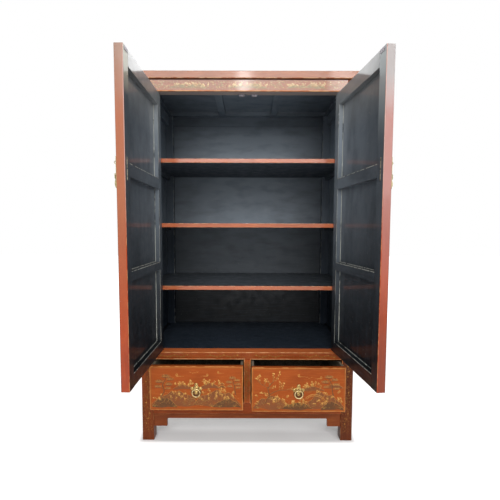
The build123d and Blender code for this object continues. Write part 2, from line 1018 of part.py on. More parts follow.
for side, out in (("left", left_drawer_out), ("right", right_drawer_out)):
    front_face_y = front_y - out
    front_back_y = front_face_y + drawer_front_thickness
    box_back_y = front_face_y + drawer_depth
    inner_walls = (
        drawer_inner_x + drawer_side_thickness,
        drawer_outer_x - drawer_side_thickness,
    )
    front_block = on_side(
        side,
        Span(
            (drawer_inner_x, drawer_outer_x),
            (front_face_y, front_back_y),
            (drawer_foot, drawer_head),
        ),
    )
    side_blocks = [
        on_side(
            side,
            Span(
                across,
                (front_face_y + drawer_lap, box_back_y),
                (drawer_foot, drawer_head - drawer_side_drop),
            ),
        )
        for across in (
            (drawer_inner_x, inner_walls[0]),
            (inner_walls[1], drawer_outer_x),
        )
    ]
    bottom_block = on_side(
        side,
        Span(
            (inner_walls[0] - drawer_groove, inner_walls[1] + drawer_groove),
            (front_back_y - drawer_groove, box_back_y),
            (
                drawer_foot + drawer_bottom_raise,
                drawer_foot + drawer_bottom_raise + drawer_bottom_thickness,
            ),
        ),
    )
    back_block = on_side(
        side,
        Span(
            inner_walls,
            (box_back_y - drawer_side_thickness, box_back_y),
            (bottom_block.z[1], drawer_head - drawer_side_drop),
        ),
    )
    face = rosette_face(side, out)
    with BuildPart() as drawer_front:
        add_block(front_block)
        fillet(drawer_front.faces().sort_by(Axis.Y)[0].edges(), drawer_front_arris)
        cut_in(front_block, side_blocks + [bottom_block])
        with BuildSketch(face):
            hole = shank_width + 2 * shank_clearance
            Rectangle(hole, hole)
        extrude(amount=-drawer_front_thickness, mode=Mode.SUBTRACT)
    write(drawer_front, f"{side}_drawer_front")

    walls = []
    for block in side_blocks + [back_block]:
        with BuildPart() as wall:
            add_block(block)
            cut_in(block, [bottom_block])
        walls.append(wall)
    write_group(walls, f"{side}_drawer_box")

    with BuildPart() as drawer_bottom:
        add_block(bottom_block)
    write(drawer_bottom, f"{side}_drawer_bottom")

    with BuildPart() as rosette:
        with BuildSketch(face):
            Circle(rosette_centre_radius)
            with PolarLocations(rosette_lobe_distance, rosette_lobes):
                Circle(rosette_lobe_radius)
            hole = shank_width + 2 * shank_clearance
            Rectangle(hole, hole, mode=Mode.SUBTRACT)
        extrude(amount=plate_thickness)
    with BuildPart(face) as eye_pin:
        add_eye_pin(0, drawer_front_thickness)
    write_group([rosette, eye_pin], f"{side}_drawer_pull_plate")

    with BuildPart(face) as ring:
        with Locations((0, -hanging_drop(ring_wire_radius) - ring_radius, eye_stand)):
            Torus(ring_radius, ring_wire_radius)
    write(ring, f"{side}_drawer_ring")
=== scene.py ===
import random
from collections import defaultdict
from math import acos, asin, cos, pi, radians, sin

import bmesh
import bpy
from mathutils import Matrix, Vector


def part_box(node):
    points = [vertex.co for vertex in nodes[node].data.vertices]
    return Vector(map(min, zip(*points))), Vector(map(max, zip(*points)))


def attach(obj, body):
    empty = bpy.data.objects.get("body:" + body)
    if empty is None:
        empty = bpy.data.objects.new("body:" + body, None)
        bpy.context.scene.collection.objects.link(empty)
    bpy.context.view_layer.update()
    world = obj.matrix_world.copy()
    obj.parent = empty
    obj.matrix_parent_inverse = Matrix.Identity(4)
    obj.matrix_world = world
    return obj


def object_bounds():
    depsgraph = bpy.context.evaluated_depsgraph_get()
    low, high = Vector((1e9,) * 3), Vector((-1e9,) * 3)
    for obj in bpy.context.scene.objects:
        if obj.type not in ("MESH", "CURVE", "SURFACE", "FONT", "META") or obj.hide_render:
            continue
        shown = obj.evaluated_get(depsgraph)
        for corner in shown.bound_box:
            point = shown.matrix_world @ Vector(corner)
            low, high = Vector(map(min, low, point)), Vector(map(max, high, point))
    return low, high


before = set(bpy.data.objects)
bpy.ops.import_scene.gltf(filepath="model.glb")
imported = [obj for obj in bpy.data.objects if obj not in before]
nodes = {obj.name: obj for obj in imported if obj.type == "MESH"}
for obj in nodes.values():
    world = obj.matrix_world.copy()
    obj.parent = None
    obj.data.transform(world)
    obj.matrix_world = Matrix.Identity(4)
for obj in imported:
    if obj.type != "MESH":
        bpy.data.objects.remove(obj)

cad_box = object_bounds()

# --- Posts ---
# Four square posts of elm that run from the floor to the top and end as the feet. They are
# lacquered red outside and black inside, and mortised for every rail.
MM = 0.001
post_low, post_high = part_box("front_left_post")
front_y, half_width, post_inner_x = post_low.y, -post_low.x, -post_high.x
back_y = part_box("rear_left_post")[1].y
waist_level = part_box("waist_rail")[1].z
head_level, under_top = [corner.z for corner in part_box("head_rail")]
floor_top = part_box("cabinet_floor")[1].z
SMOOTH = {"interpolation_type": "SMOOTHSTEP"}


def linear(code):
    """An sRGB hex colour as the linear colour that a shader takes."""
    parts = [int(code[i : i + 2], 16) / 255 for i in (1, 3, 5)]
    return (*[p / 12.92 if p <= 0.04045 else ((p + 0.055) / 1.055) ** 2.4 for p in parts], 1.0)


def fill(tree, node, inputs):
    """Links or sets a node's inputs. A colour may be given as its hex code."""
    for name, value in inputs.items():
        if isinstance(value, bpy.types.NodeSocket):
            tree.links.new(value, node.inputs[name])
        else:
            node.inputs[name].default_value = linear(value) if isinstance(value, str) else value


def add_node(tree, kind, *inputs, out=0, **settings):
    """Adds a shader node with its settings, constants and links, and returns one output.

    The inputs are filled in order, or by name where a dictionary gives them. With out=None all
    the outputs come back.
    """
    node = tree.nodes.new("ShaderNode" + kind)
    for name, value in settings.items():
        setattr(node, name, value)
    for number, value in enumerate(inputs):
        fill(tree, node, value if isinstance(value, dict) else {number: value})
    return node.outputs if out is None else node.outputs[out]


def new_material(name, **constants):
    """A material whose Principled shader has these constants; returns it, its tree and shader."""
    material = bpy.data.materials.new(name)
    material.use_nodes = True
    shader = material.node_tree.nodes["Principled BSDF"]
    for socket, value in constants.items():
        shader.inputs[socket.replace("_", " ")].default_value = value
    return material, material.node_tree, shader


def cloud_noise(tree, place, size, stretch=(1, 1, 1), detail=4.0, seed=0.0):
    """Noise whose clouds are about size metres wide, and longer along a stretched axis."""
    scale = tuple(1 / (size * part) for part in stretch)
    shift = (seed, seed * 2, seed * 3)
    place = add_node(tree, "Mapping", place, {"Scale": scale, "Location": shift})
    return add_node(tree, "TexNoise", place, {"Scale": 1.0, "Detail": detail}, out="Fac")


def clouds(tree, place, size, edges, values=(0.0, 1.0), **noise):
    """Cloudy noise that goes smoothly from one value to the other between two edges."""
    noise = cloud_noise(tree, place, size, **noise)
    return add_node(tree, "MapRange", noise, *edges, *values, **SMOOTH)


def layered(tree, ground, *coats):
    """A ground colour under coats, each given as the share that it covers and its colour."""
    for share, colour in coats:
        ground = add_node(tree, "Mix", {0: share, 6: ground, 7: colour}, out=2, data_type="RGBA")
    return ground


def largest_part(tree, vector):
    """The largest of a vector's three parts."""
    x, y, z = add_node(tree, "SeparateXYZ", vector, out=None)
    largest = add_node(tree, "Math", x, y, operation="MAXIMUM")
    return add_node(tree, "Math", largest, z, operation="MAXIMUM")


def beyond(tree, place, low, high):
    """How far a place is beyond the faces of the box from low to high, along each axis."""
    away = add_node(tree, "VectorMath", place, (low + high) / 2, operation="SUBTRACT")
    away = add_node(tree, "VectorMath", away, operation="ABSOLUTE")
    return add_node(tree, "VectorMath", away, (high - low) / 2, operation="SUBTRACT")


def inside_box(tree, place, low, high):
    """1 where the place is inside the box from low to high, 0 outside it."""
    away = largest_part(tree, beyond(tree, place, low, high))
    return add_node(tree, "MapRange", away, 0.0, -0.3 * MM)


def on_arris(tree, normal):
    """1 on the rounded edges between faces that stand square to the axes, 0 elsewhere."""
    size = add_node(tree, "VectorMath", normal, operation="ABSOLUTE")
    return add_node(tree, "MapRange", largest_part(tree, size), 0.985, 0.86)


def block(x, y, z):
    """The low and high corners of the box between three pairs of coordinates."""
    return [Vector(corner) for corner in zip(x, y, z)]


# The space that is lacquered black: the doored part, from the floor board to the top.
chest = block(
    (-half_width + 3 * MM, half_width - 3 * MM),
    (front_y + 1.6 * MM, back_y - 10 * MM),
    (floor_top - MM, cad_box[1].z - 8 * MM),
)
# Bone black in lacquer: deep, as the brush left it, a pale grey for the painted sheen, and worn at
# the edges.
old_black = ("#101317", "#1F252B", "#8A949E", "#9A9A92")
# A lighter copy of the black, painted light for the case's side walls, rear posts and floor.
case_lit_black = ("#1F2731", "#2A333D", "#8A949E", "#9A9A92")
# The levels between which painted sheen greys the black, and how far aside it is full and faint.
haze_levels = (waist_level + 0.03, waist_level + 1.0)
haze_aside = (0.1, half_width)


def lacquer(
    name, red, grain, gloss, coat=0.0, turn=0.0, black=chest, tones=old_black, haze=0.5,
    marks=(), blooms=(),
):
    """Shellac and pigment lacquer over elm, rubbed and worn: red, and black inside a box.

    red is its deep, usual, bright and rubbed colour, grain the axis that the wood runs along,
    turn the angle at which the piece stands at rest, tones the colours of the black, the next
    argument how far painted sheen greys the black towards the top and the middle, and marks are
    boxes of another colour. The last argument holds boxes of painted light and shade, where
    another colour comes in by degrees: each gives its corners, the heights where it starts and
    is full, its colour, and the share that it reaches.
    """
    material, tree, shader = new_material(
        name, Specular_IOR_Level=gloss, Coat_Weight=coat, Coat_Roughness=0.1, IOR=1.5
    )
    place, normal = [add_node(tree, "TexCoord", out=way) for way in ("Object", "Normal")]
    if turn:
        place, normal = [
            add_node(tree, "VectorRotate", way, {"Angle": -turn}, rotation_type="Z_AXIS")
            for way in (place, normal)
        ]

    # Red: hand-rubbed clouds, grain that shows through, and specks of dirt in the pores.
    along, broad = [
        tuple(length if axis == grain else 1.0 for axis in "XYZ") for length in (14.0, 3.0)
    ]
    streaks = cloud_noise(tree, place, 5 * MM, stretch=along, seed=3.0)
    specks = clouds(tree, place, 6 * MM, (0.66, 0.74), (0.0, 0.5), detail=2.0, seed=9.0)
    colour = layered(
        tree,
        red[0],
        (clouds(tree, place, 50 * MM, (0.3, 0.6), (0.3, 0.9), stretch=broad), red[1]),
        (add_node(tree, "MapRange", streaks, 0.5, 0.75, 0.0, 0.55), red[2]),
        (specks, red[0]),
    )

    # Wear: the arrises are rubbed down to a pale ochre ground in broken lengths.
    rubbed = clouds(tree, place, 30 * MM, (0.42, 0.6), detail=5.0, seed=5.0)
    worn = add_node(tree, "Math", on_arris(tree, normal), rubbed, operation="MULTIPLY")
    colour = layered(tree, colour, (worn, red[3]))

    # Black: streaked by the brush along the grain, with pale scuffs, and greyed by painted sheen
    # higher up and in the middle, less towards the sides.
    aside, _, level = add_node(tree, "SeparateXYZ", place, out=None)
    sheen_share = add_node(tree, "MapRange", level, *haze_levels, 0.0, haze, **SMOOTH)
    aside = add_node(tree, "Math", aside, operation="ABSOLUTE")
    central = add_node(tree, "MapRange", aside, *haze_aside, 1.0, 0.45, **SMOOTH)
    cloudy = clouds(tree, place, 50 * MM, (0.3, 0.6), (0.8, 1.1), stretch=broad, seed=15.0)
    for part in (cloudy, central):
        sheen_share = add_node(tree, "Math", sheen_share, part, operation="MULTIPLY")
    brushed = clouds(tree, place, 8 * MM, (0.44, 0.7), stretch=along, detail=5.0, seed=7.0)
    scuffs = clouds(tree, place, 9 * MM, (0.68, 0.76), (0.0, 0.3), detail=3.0, seed=21.0)
    shares = (brushed, sheen_share, scuffs, worn)
    dull = layered(tree, tones[0], *zip(shares, (tones[1], tones[2], tones[3], tones[3])))
    inside = inside_box(tree, place, *black)
    colour = layered(tree, colour, (inside, dull))
    for low, high, paint in marks:
        colour = layered(tree, colour, (inside_box(tree, place, low, high), paint))
    # Boxes of painted light and shade, whose colour comes in by degrees with height.
    for low, high, start, full, paint, share in blooms:
        rising = add_node(tree, "MapRange", level, start, full, 0.0, share)
        within = inside_box(tree, place, low, high)
        painted_light_share = add_node(tree, "Math", rising, within, operation="MULTIPLY")
        colour = layered(tree, colour, (painted_light_share, paint))

    # Surface: semi-gloss red with duller rubbed patches, and a duller black.
    patchy = clouds(tree, place, 45 * MM, (0.3, 0.7), (0.28, 0.46), detail=5.0, seed=12.0)
    rough = add_node(tree, "Math", inside, 0.16, patchy, operation="MULTIPLY_ADD")
    bump = add_node(tree, "Bump", {"Height": streaks, "Strength": 0.35, "Distance": 0.25 * MM})
    fill(tree, shader, {"Base Color": colour, "Roughness": rough, "Normal": bump})
    return material


def finish_node(name, material):
    """Gives a solid of the frame its finish."""
    slots = nodes[name].data.materials
    slots.clear()
    slots.append(material)


def lacquer_node(name, *look, **more):
    """Lacquers a solid of the frame."""
    finish_node(name, lacquer("lacquer on " + name, *look, **more))


# How glossy the frame's lacquer is, under any coat of polish.
satin = 0.15
# Deep, usual, bright and rubbed colours of the red.
frame_red = ("#5E2509", "#7E3611", "#9A4C20", "#B67E4C")
# The front posts have their own reds, the left a little lighter and the right much darker: painted
# light and shade for how each is lit.
left_post_red = ("#602809", "#863C14", "#A45624", "#BE8650")
right_post_red = ("#3E1A08", "#5C280E", "#763C1A", "#A07044")
# The inner arris of the front posts is black as well, so that none of the red shows inside.
arris_x = post_inner_x + 2.2 * MM
black_arris = block(
    (-arris_x, arris_x), (front_y - MM, front_y + 3 * MM), (waist_level + MM, head_level)
)
# Painted shade: the feet grow darker towards the floor, where less light reaches, the left one
# most.
feet = block((-half_width - MM, half_width + MM), (front_y - MM, back_y + MM), (-MM, 0.3))
foot_shade_look = (0.3, 0.05, "#32180A")
for name, red, foot_shade, tones, haze in (
    ("front_left_post", left_post_red, 0.5, old_black, 0.5),
    ("front_right_post", right_post_red, 0.1, old_black, 0.5),
    ("rear_left_post", frame_red, 0.3, case_lit_black, 0.6),
    ("rear_right_post", frame_red, 0.3, case_lit_black, 1.0),
):
    edge, foot = (*black_arris, "#14171B"), (*feet, *foot_shade_look, foot_shade)
    lacquer_node(name, red, "Z", satin, tones=tones, haze=haze, marks=[edge], blooms=[foot])

# --- Rails ---
# Head rail, waist rail, bottom rail and the short divider: elm, tenoned into the posts. The
# head rail is the frieze, polished brighter than the rest.
frieze_red = ("#78432E", "#8C5439", "#A06A4A", "#CFA078")
frieze_coat = 0.55
rail_low, rail_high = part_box("head_rail")
along_rail = (rail_low.x, rail_high.x)
underside = block(
    along_rail,
    (rail_low.y + 4 * MM, rail_high.y + MM),
    (rail_low.z - MM, rail_low.z + 0.5 * MM),
)
top_overhang_shadow = block(
    along_rail,
    (rail_low.y - MM, rail_low.y + 3 * MM),
    (rail_high.z - 6 * MM, rail_high.z + MM),
)
# Painted light and shade on the head rail: its underside is a pale grey-pink to brighten it, and a
# dark band along its top, under the overhang of the top, is a painted shadow.
frieze_marks = [(*underside, "#A39289"), (*top_overhang_shadow, "#4A2318")]
lacquer_node("head_rail", frieze_red, "X", satin, frieze_coat, marks=frieze_marks)
waist_red = ("#72300E", "#904018", "#AC5826", "#CB8B55")
lit_red = "#CC6A38"
waist_low, waist_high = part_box("waist_rail")
waist_top = block(
    (waist_low.x, waist_high.x),
    (waist_low.y + 2 * MM, waist_high.y + MM),
    (waist_high.z - 0.5 * MM, waist_high.z + MM),
)
behind_waist = (Vector((-half_width, waist_high.y, floor_top)), chest[1])
marks = [(*waist_top, lit_red)]
lacquer_node("waist_rail", waist_red, "X", 0.18, black=behind_waist, marks=marks)
lacquer_node("bottom_rail", waist_red, "X", satin)
# The divider's red is brighter than the rails', painted light where it stands back in the shade
# between the drawers.
divider_red = ("#8A3A12", "#AE501E", "#C76B2E", "#D29258")
lacquer_node("drawer_divider", divider_red, "Z", satin)
for name, grain, haze in (
    ("left_side_rails", "Y", 1.3),
    ("right_side_rails", "Y", 1.3),
    ("back_rails", "X", 0.6),
):
    lacquer_node(name, frame_red, grain, satin, haze=haze)


def add_mesh(name, body, material, shape):
    """Turns a finished bmesh into a piece with its material, and rides it on a body."""
    bmesh.ops.recalc_face_normals(shape, faces=shape.faces)
    mesh = bpy.data.meshes.new(name)
    shape.to_mesh(mesh)
    shape.free()
    mesh.materials.append(material)
    piece = bpy.data.objects.new(name, mesh)
    bpy.context.scene.collection.objects.link(piece)
    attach(piece, body)
    return piece


def skin_rings(shape, rings, ends=(0, -1)):
    """Faces between rings of points that follow each other, and over the rings at the ends."""
    for one, other in zip(rings, rings[1:]):
        for a in range(len(one)):
            b = (a + 1) % len(one)
            shape.faces.new((one[a], one[b], other[b], other[a]))
    for end in ends:
        shape.faces.new(rings[end])


def sweep_bead(shape, corners, out, width, height, closed=False):
    """Sweeps a half-round bead along straight runs, mitred at the corners and capped."""
    turns = [pi * step / 6 for step in range(7)]
    profile = [(width / 2 * cos(turn), height * sin(turn)) for turn in turns]
    profile += [(-width / 2, -0.3 * MM), (width / 2, -0.3 * MM)]
    rings = []
    for number, corner in enumerate(corners):
        came = (corner - corners[number - 1]).normalized()
        goes = (corners[(number + 1) % len(corners)] - corner).normalized()
        if not closed:
            came = came if number else goes
            goes = goes if number < len(corners) - 1 else came
        side = (came + goes).normalized().cross(out).normalized()
        side /= max(side.dot(goes.cross(out).normalized()), 0.2)
        rings.append([shape.verts.new(corner + side * a + out * b) for a, b in profile])
    if closed:
        skin_rings(shape, rings + rings[:1], ends=())
    else:
        skin_rings(shape, rings)


bead_width = 4.0 * MM
bead_height = 1.1 * MM
bead_inset = bead_width / 2 + 0.5 * MM
FRONT = Vector((0, -1, 0))
bead_lacquer = lacquer(
    "orange lacquer on the beads", ("#9A5222", "#B66A32", "#D28E54", "#E2B884"), "X", 0.3
)
drawer_ceiling = waist_low.z
drawer_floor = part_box("bottom_rail")[1].z
divider_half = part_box("drawer_divider")[1].x
opening_beads = []
for side in (-1, 1):
    inner, outer = side * (divider_half - bead_inset), side * (post_inner_x + bead_inset)
    low, high = drawer_floor - bead_inset, drawer_ceiling + bead_inset
    opening_beads.append([(inner, low), (inner, high), (outer, high), (outer, low), (inner, low)])
frieze_foot, waist_head = head_level + bead_inset, waist_level - bead_inset
for name, runs in (
    ("drawer_opening_beads", opening_beads),
    ("frieze_bead", [[(-post_inner_x, frieze_foot), (post_inner_x, frieze_foot)]]),
    ("waist_bead", [[(-post_inner_x, waist_head), (post_inner_x, waist_head)]]),
):
    shape = bmesh.new()
    for run in runs:
        corners = [Vector((x, front_y, z)) for x, z in run]
        sweep_bead(shape, corners, FRONT, bead_width, bead_height)
    add_mesh(name, "cabinet", bead_lacquer, shape)

# --- Panels ---
# Thin boards let into grooves in the frame: the sides are red outside, the back is bare and
# smoked brown outside, and both are black where they face the shelves.
for name, haze in (("left_side_panels", 1.4), ("right_side_panels", 2.2)):
    lacquer_node(name, frame_red, "Z", satin, tones=case_lit_black, haze=haze)
smoked = ("#44291B", "#583725", "#6E4A34", "#7E5C45")
# Painted shade: the back is darker right under the top, which shades it.
shade = (1.66, 1.73, "#10151B", 0.4)
for name in ("upper_back_panel", "lower_back_panel"):
    inner_face = Vector((half_width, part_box(name)[0].y + 2 * MM, under_top))
    inside = (chest[0], inner_face)
    lacquer_node(name, smoked, "X", 0.35, black=inside, haze=1.0, blooms=[(*inside, *shade)])

# --- Top ---
# A mitred elm frame with a panel let in, which stands out over the posts, and two battens
# under the panel that keep it flat.
top_red = ("#7E4626", "#91522E", "#A4663E", "#D4B084")
for name in ("top_frame", "top_panel"):
    lacquer_node(name, top_red, "X", satin, frieze_coat, haze=0.8)
lacquer_node("top_battens", smoked, "Y", satin, haze=0.8)

# --- Floor and shelves ---
# Boards lacquered black, the shelves behind a red front rail, on bearers between the posts.
# The floor board is red along its front edge, where it meets the waist rail.
low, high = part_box("cabinet_floor")
red_edge = waist_high.y + 16 * MM
floor_black = block(
    (low.x - MM, high.x + MM), (red_edge, high.y + MM), (high.z - 4 * MM, high.z + MM)
)
floor_front = block((low.x, high.x), (waist_high.y - MM, red_edge), (high.z - MM, high.z + MM))
marks = [(*floor_front, lit_red)]
lacquer_node("cabinet_floor", waist_red, "X", 0.4, black=floor_black, tones=case_lit_black, marks=marks)
for name in ("lower_shelf", "middle_shelf", "upper_shelf"):
    low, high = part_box(name)
    underside = block(
        (low.x - MM, high.x + MM), (low.y - MM, high.y + MM), (low.z - MM, low.z + 0.5 * MM)
    )
    lacquer_node(name, smoked, "X", 0.5, haze=0.9, marks=[(*underside, "#3A4048")])
shelf_red = ("#8A4426", "#AC5832", "#C87B4C", "#DDA97C")
shelf_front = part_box("shelf_front_rails")[0].y
shelf_black = block((-half_width, half_width), (shelf_front + 3 * MM, back_y), (0, under_top))
lacquer_node("shelf_front_rails", shelf_red, "X", 0.3, 0.7, black=shelf_black)
lacquer_node("shelf_bearers", smoked, "Y", satin, haze=0.7)

# --- Aprons ---
# Thin boards of elm cut to a bracket at each end, and grooved into the underside of the bottom
# rails. Their lacquer is duller than that of the frame.
apron_red = ("#5E2A10", "#783A18", "#905024", "#B98250")
for name, grain in (("front_apron", "X"), ("side_aprons", "Y")):
    lacquer_node(name, apron_red, grain, satin)

# --- Doors ---
# Mortised frames with a thin panel and two cross battens behind it, hung on wooden pivots.
# Red outside and on the free edge, black inside; thin black beads line each recess, streaked
# pale grey along their length as painted highlights.
door_turns = {"left": radians(-91.6), "right": radians(97.3)}
stands = {side: Matrix.Rotation(turn, 3, "Z") for side, turn in door_turns.items()}
door_red = ("#802A05", "#983807", "#AC4814", "#C58E5C")
# Painted sheen: the free edges grow paler from the middle up and whiter at the top, as does the
# inside, and painted shade darkens the right one near its foot: the heights where each change
# starts and is full, its colour, and the share that it reaches.
right_edge_foot_shade = (0.90, 0.60, "#4C1A06", 0.55)
edge_blooms = {
    "left": ((0.70, 1.15, "#985D41", 0.85), (1.46, 1.70, "#876A5A", 0.9)),
    "right": (right_edge_foot_shade, (0.74, 1.15, "#9A6C65", 0.85), (1.46, 1.62, "#817B79", 0.95)),
}
# Painted sheen on the black inner faces, paler towards the top, and on the free stiles most.
inside_painted_light = (1.5, 1.72, "#AFAEA6", 0.3)
stile_blooms = {"left": (1.55, 1.66, "#BAB6A0", 0.75), "right": (1.38, 1.66, "#AEB6B6", 0.7)}
# Painted highlight: the inner arris of the free edge is paler in its upper part.
highlight_reach = 2.6 * MM
arris_painted_light = (1.0, 1.3, "#A88C84", 0.8)


def shut_corners(side, *names):
    """The lowest and highest corners of pieces of a door, with the door turned shut."""
    back = Matrix.Rotation(-door_turns[side], 3, "Z")
    corners = [back @ v.co for name in names for v in nodes[f"{side}_{name}"].data.vertices]
    return [Vector([pick(c[axis] for c in corners) for axis in range(3)]) for pick in (min, max)]


# Black lacquer for the recess beads, with pale grey streaks along them as painted highlights.
highlit_bead_black, tree, shader = new_material(
    "worn black lacquer", Specular_IOR_Level=0.2, Roughness=0.55
)
place = add_node(tree, "TexCoord", out="Object")
along = (1, 1, 5)
colour = layered(
    tree,
    "#26292B",
    (clouds(tree, place, 16 * MM, (0.38, 0.52), stretch=along), "#9A9C95"),
    (clouds(tree, place, 7 * MM, (0.55, 0.68), stretch=along, seed=4.0), "#C2C2B8"),
)
fill(tree, shader, {"Base Color": colour})

door_corners = {}
for side, turn in door_turns.items():
    low, high = shut_corners(side, "door_hinge_stile", "door_meeting_stile")
    hinge_side = shut_corners(side, "door_hinge_stile")
    free_side = shut_corners(side, "door_meeting_stile")
    low.z, high.z = foot, head = free_side[0].z, free_side[1].z
    door_corners[side] = (low, high)
    way, free_x = (1, free_side[1].x) if side == "left" else (-1, free_side[0].x)
    # Black on the inner face, as far as the hinge edge and 2 mm short of the free one.
    black = low + Vector((-2 * way, 3, -20)) * MM, high + Vector((-2 * way, 2, 20)) * MM
    near_x, edge_x = [(free_x - reach * MM, free_x + reach * MM) for reach in (2, 1.8)]
    dark_arris = block(near_x, (low.y - MM, low.y + 2.2 * MM), (foot, head))
    free_edge = block(edge_x, (low.y - MM, high.y - highlight_reach), (foot, head + MM))
    highlight_arris = block(edge_x, (high.y - highlight_reach, high.y + MM), (foot, head + MM))
    for name, grain, coat in (
        ("hinge_stile", "Z", 0.55),
        ("meeting_stile", "Z", 0.35),
        ("top_rail", "X", 0.75),
        ("bottom_rail", "X", 0.45),
        ("battens", "X", 0.45),
        ("panel", "Z", 0.45),
    ):
        marks, blooms = [], [(*black, *inside_painted_light)]
        if name == "meeting_stile":
            marks = [(*dark_arris, "#3A1B10")]
            blooms = [(*black, *stile_blooms[side])]
            blooms += [(*free_edge, *bloom) for bloom in edge_blooms[side]]
            blooms.append((*highlight_arris, *arris_painted_light))
        lacquer_node(
            f"{side}_door_{name}", door_red, grain, satin, coat=coat, turn=turn, black=black,
            haze=0.62 if side == "right" else 0.5, marks=marks, blooms=blooms,
        )

    # Beads down the hinge side and along the foot of each recess, on the frame and on the panel.
    stand = stands[side]
    left_x = min(hinge_side[1].x, free_side[1].x)
    right_x = max(hinge_side[0].x, free_side[0].x)
    panel_face = shut_corners(side, "door_panel")[1].y
    levels = [v.co.z for v in nodes[f"{side}_door_battens"].data.vertices]
    halfway = (min(levels) + max(levels)) / 2
    lower, upper = [z for z in levels if z < halfway], [z for z in levels if z > halfway]
    bottom_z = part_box(f"{side}_door_bottom_rail")[1].z
    top_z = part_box(f"{side}_door_top_rail")[0].z
    shape = bmesh.new()
    recesses = (bottom_z, min(lower)), (max(lower), min(upper)), (max(upper), top_z)
    for below, above in recesses:
        for face, outward, width, height in (
            (high.y, 1.2 * MM, 2.8 * MM, 0.5 * MM),
            (panel_face, -2.0 * MM, 3.4 * MM, 2.2 * MM),
        ):
            x0, x1 = (left_x - outward, right_x + outward)[::way]
            z0, z1 = below - outward, above + outward
            corners = [stand @ Vector((x, face, z)) for x, z in ((x0, z1), (x0, z0), (x1, z0))]
            sweep_bead(shape, corners, stand @ -FRONT, width, height)
    add_mesh(f"{side}_door_recess_beads", f"{side}_door", highlit_bead_black, shape)


# --- Brass and steel ---
# Lock plates, eyes, pulls and rings of cast and beaten brass, and blackened steel catches.
# Split pins hold the eyes through the wood, and the pulls and the rings hang loose in them.
def metal(name, colour, tarnish, rough, spread=(0.4, 0.68)):
    """Bare metal, dulled and spotted by handling."""
    material, tree, shader = new_material(name, Metallic=1.0)
    place = add_node(tree, "TexCoord", out="Object")
    spots = clouds(tree, place, 8 * MM, spread, detail=5.0)
    colour = layered(tree, colour, (spots, tarnish))
    dull = clouds(tree, place, 3 * MM, (0.3, 0.7), (rough, rough + 0.2), detail=3.0, seed=4.0)
    hammered = cloud_noise(tree, place, 2 * MM, detail=3.0, seed=6.0)
    bump = add_node(tree, "Bump", {"Height": hammered, "Strength": 0.3, "Distance": 0.2 * MM})
    fill(tree, shader, {"Base Color": colour, "Roughness": dull, "Normal": bump})
    return material


brass = metal("aged brass", "#BFA066", "#75603A", 0.28)
rubbed_brass = metal("rubbed brass", "#D8C290", "#9A8252", 0.3, spread=(0.46, 0.7))
dull_brass = metal("greened brass", "#A59A74", "#6E6548", 0.35, spread=(0.35, 0.8))
pin_brass = metal("pale brass", "#B6AE9A", "#6E675A", 0.4)
steel = metal("blackened steel", "#98949A", "#5E5A5C", 0.42)
finish_node("door_catches", steel)
for side in door_turns:
    for name, finish in (
        ("lock_plate", dull_brass),
        ("door_pull", dull_brass),
        ("eye_pins", pin_brass),
        ("drawer_pull_plate", brass),
        ("drawer_ring", rubbed_brass),
        ("door_strike", steel),
    ):
        finish_node(f"{side}_{name}", finish)


ACROSS = Vector((1, 0, 0))
# How a piece stands that faces the front.
SQUARE = Matrix.Identity(3)


def add_dome(shape, centre, radius, height, stand=SQUARE, rings=6, spokes=28):
    """A low dome on a face: rings of points under a rounded crown."""
    out, across = stand @ FRONT, stand @ ACROSS
    up = out.cross(across)
    circles = []
    for ring in range(rings):
        part = 1 - ring / rings
        lift = height * cos(part * pi / 2) ** 0.8 if ring else -0.3 * MM
        circle = []
        for turn in [2 * pi * spoke / spokes for spoke in range(spokes)]:
            aside = across * cos(turn) + up * sin(turn)
            circle.append(shape.verts.new(centre + aside * (radius * part) + out * lift))
        circles.append(circle)
    skin_rings(shape, circles, ends=[0])
    crown = shape.verts.new(centre + out * height)
    for a in range(spokes):
        shape.faces.new((circles[-1][a], circles[-1][(a + 1) % spokes], crown))


# Each drawer plate is pressed into five domes inside a beaded rim.
plate_thickness = 1.6 * MM
plate_radius = 15 * MM
lobe_radius = 8.6 * MM
lobe_distance = 19.4 * MM
rim_inset = 0.9 * MM
inner, lobe = plate_radius - rim_inset, lobe_radius - rim_inset
meet = acos((lobe_distance**2 + inner**2 - lobe**2) / (2 * lobe_distance * inner))
sweep = pi - acos((lobe_distance**2 + lobe**2 - inner**2) / (2 * lobe_distance * lobe))
for side in door_turns:
    low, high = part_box(f"{side}_drawer_pull_plate")
    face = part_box(f"{side}_drawer_front")[0].y - plate_thickness
    centre = Vector(((low.x + high.x) / 2, face, (low.z + high.z) / 2))
    shape = bmesh.new()
    add_dome(shape, centre, plate_radius - 3 * MM, 2.6 * MM)
    rim = []
    for way in (0, pi / 2, pi, 3 * pi / 2):
        place = centre + Vector((cos(way), 0, sin(way))) * lobe_distance
        add_dome(shape, place, lobe_radius - 2.6 * MM, 2.2 * MM)
        round_lobe = [way - sweep + sweep * step / 6 for step in range(13)]
        between = [way + meet + (pi / 2 - 2 * meet) * step / 4 for step in (1, 2, 3)]
        for middle, reach, turns in ((place, lobe, round_lobe), (centre, inner, between)):
            rim += [middle + Vector((cos(turn), 0, sin(turn))) * reach for turn in turns]
    sweep_bead(shape, rim, FRONT, 1.5 * MM, 0.9 * MM, closed=True)
    piece = add_mesh(f"{side}_plate_domes", f"{side}_drawer", brass, shape)
    for face in piece.data.polygons:
        face.use_smooth = True

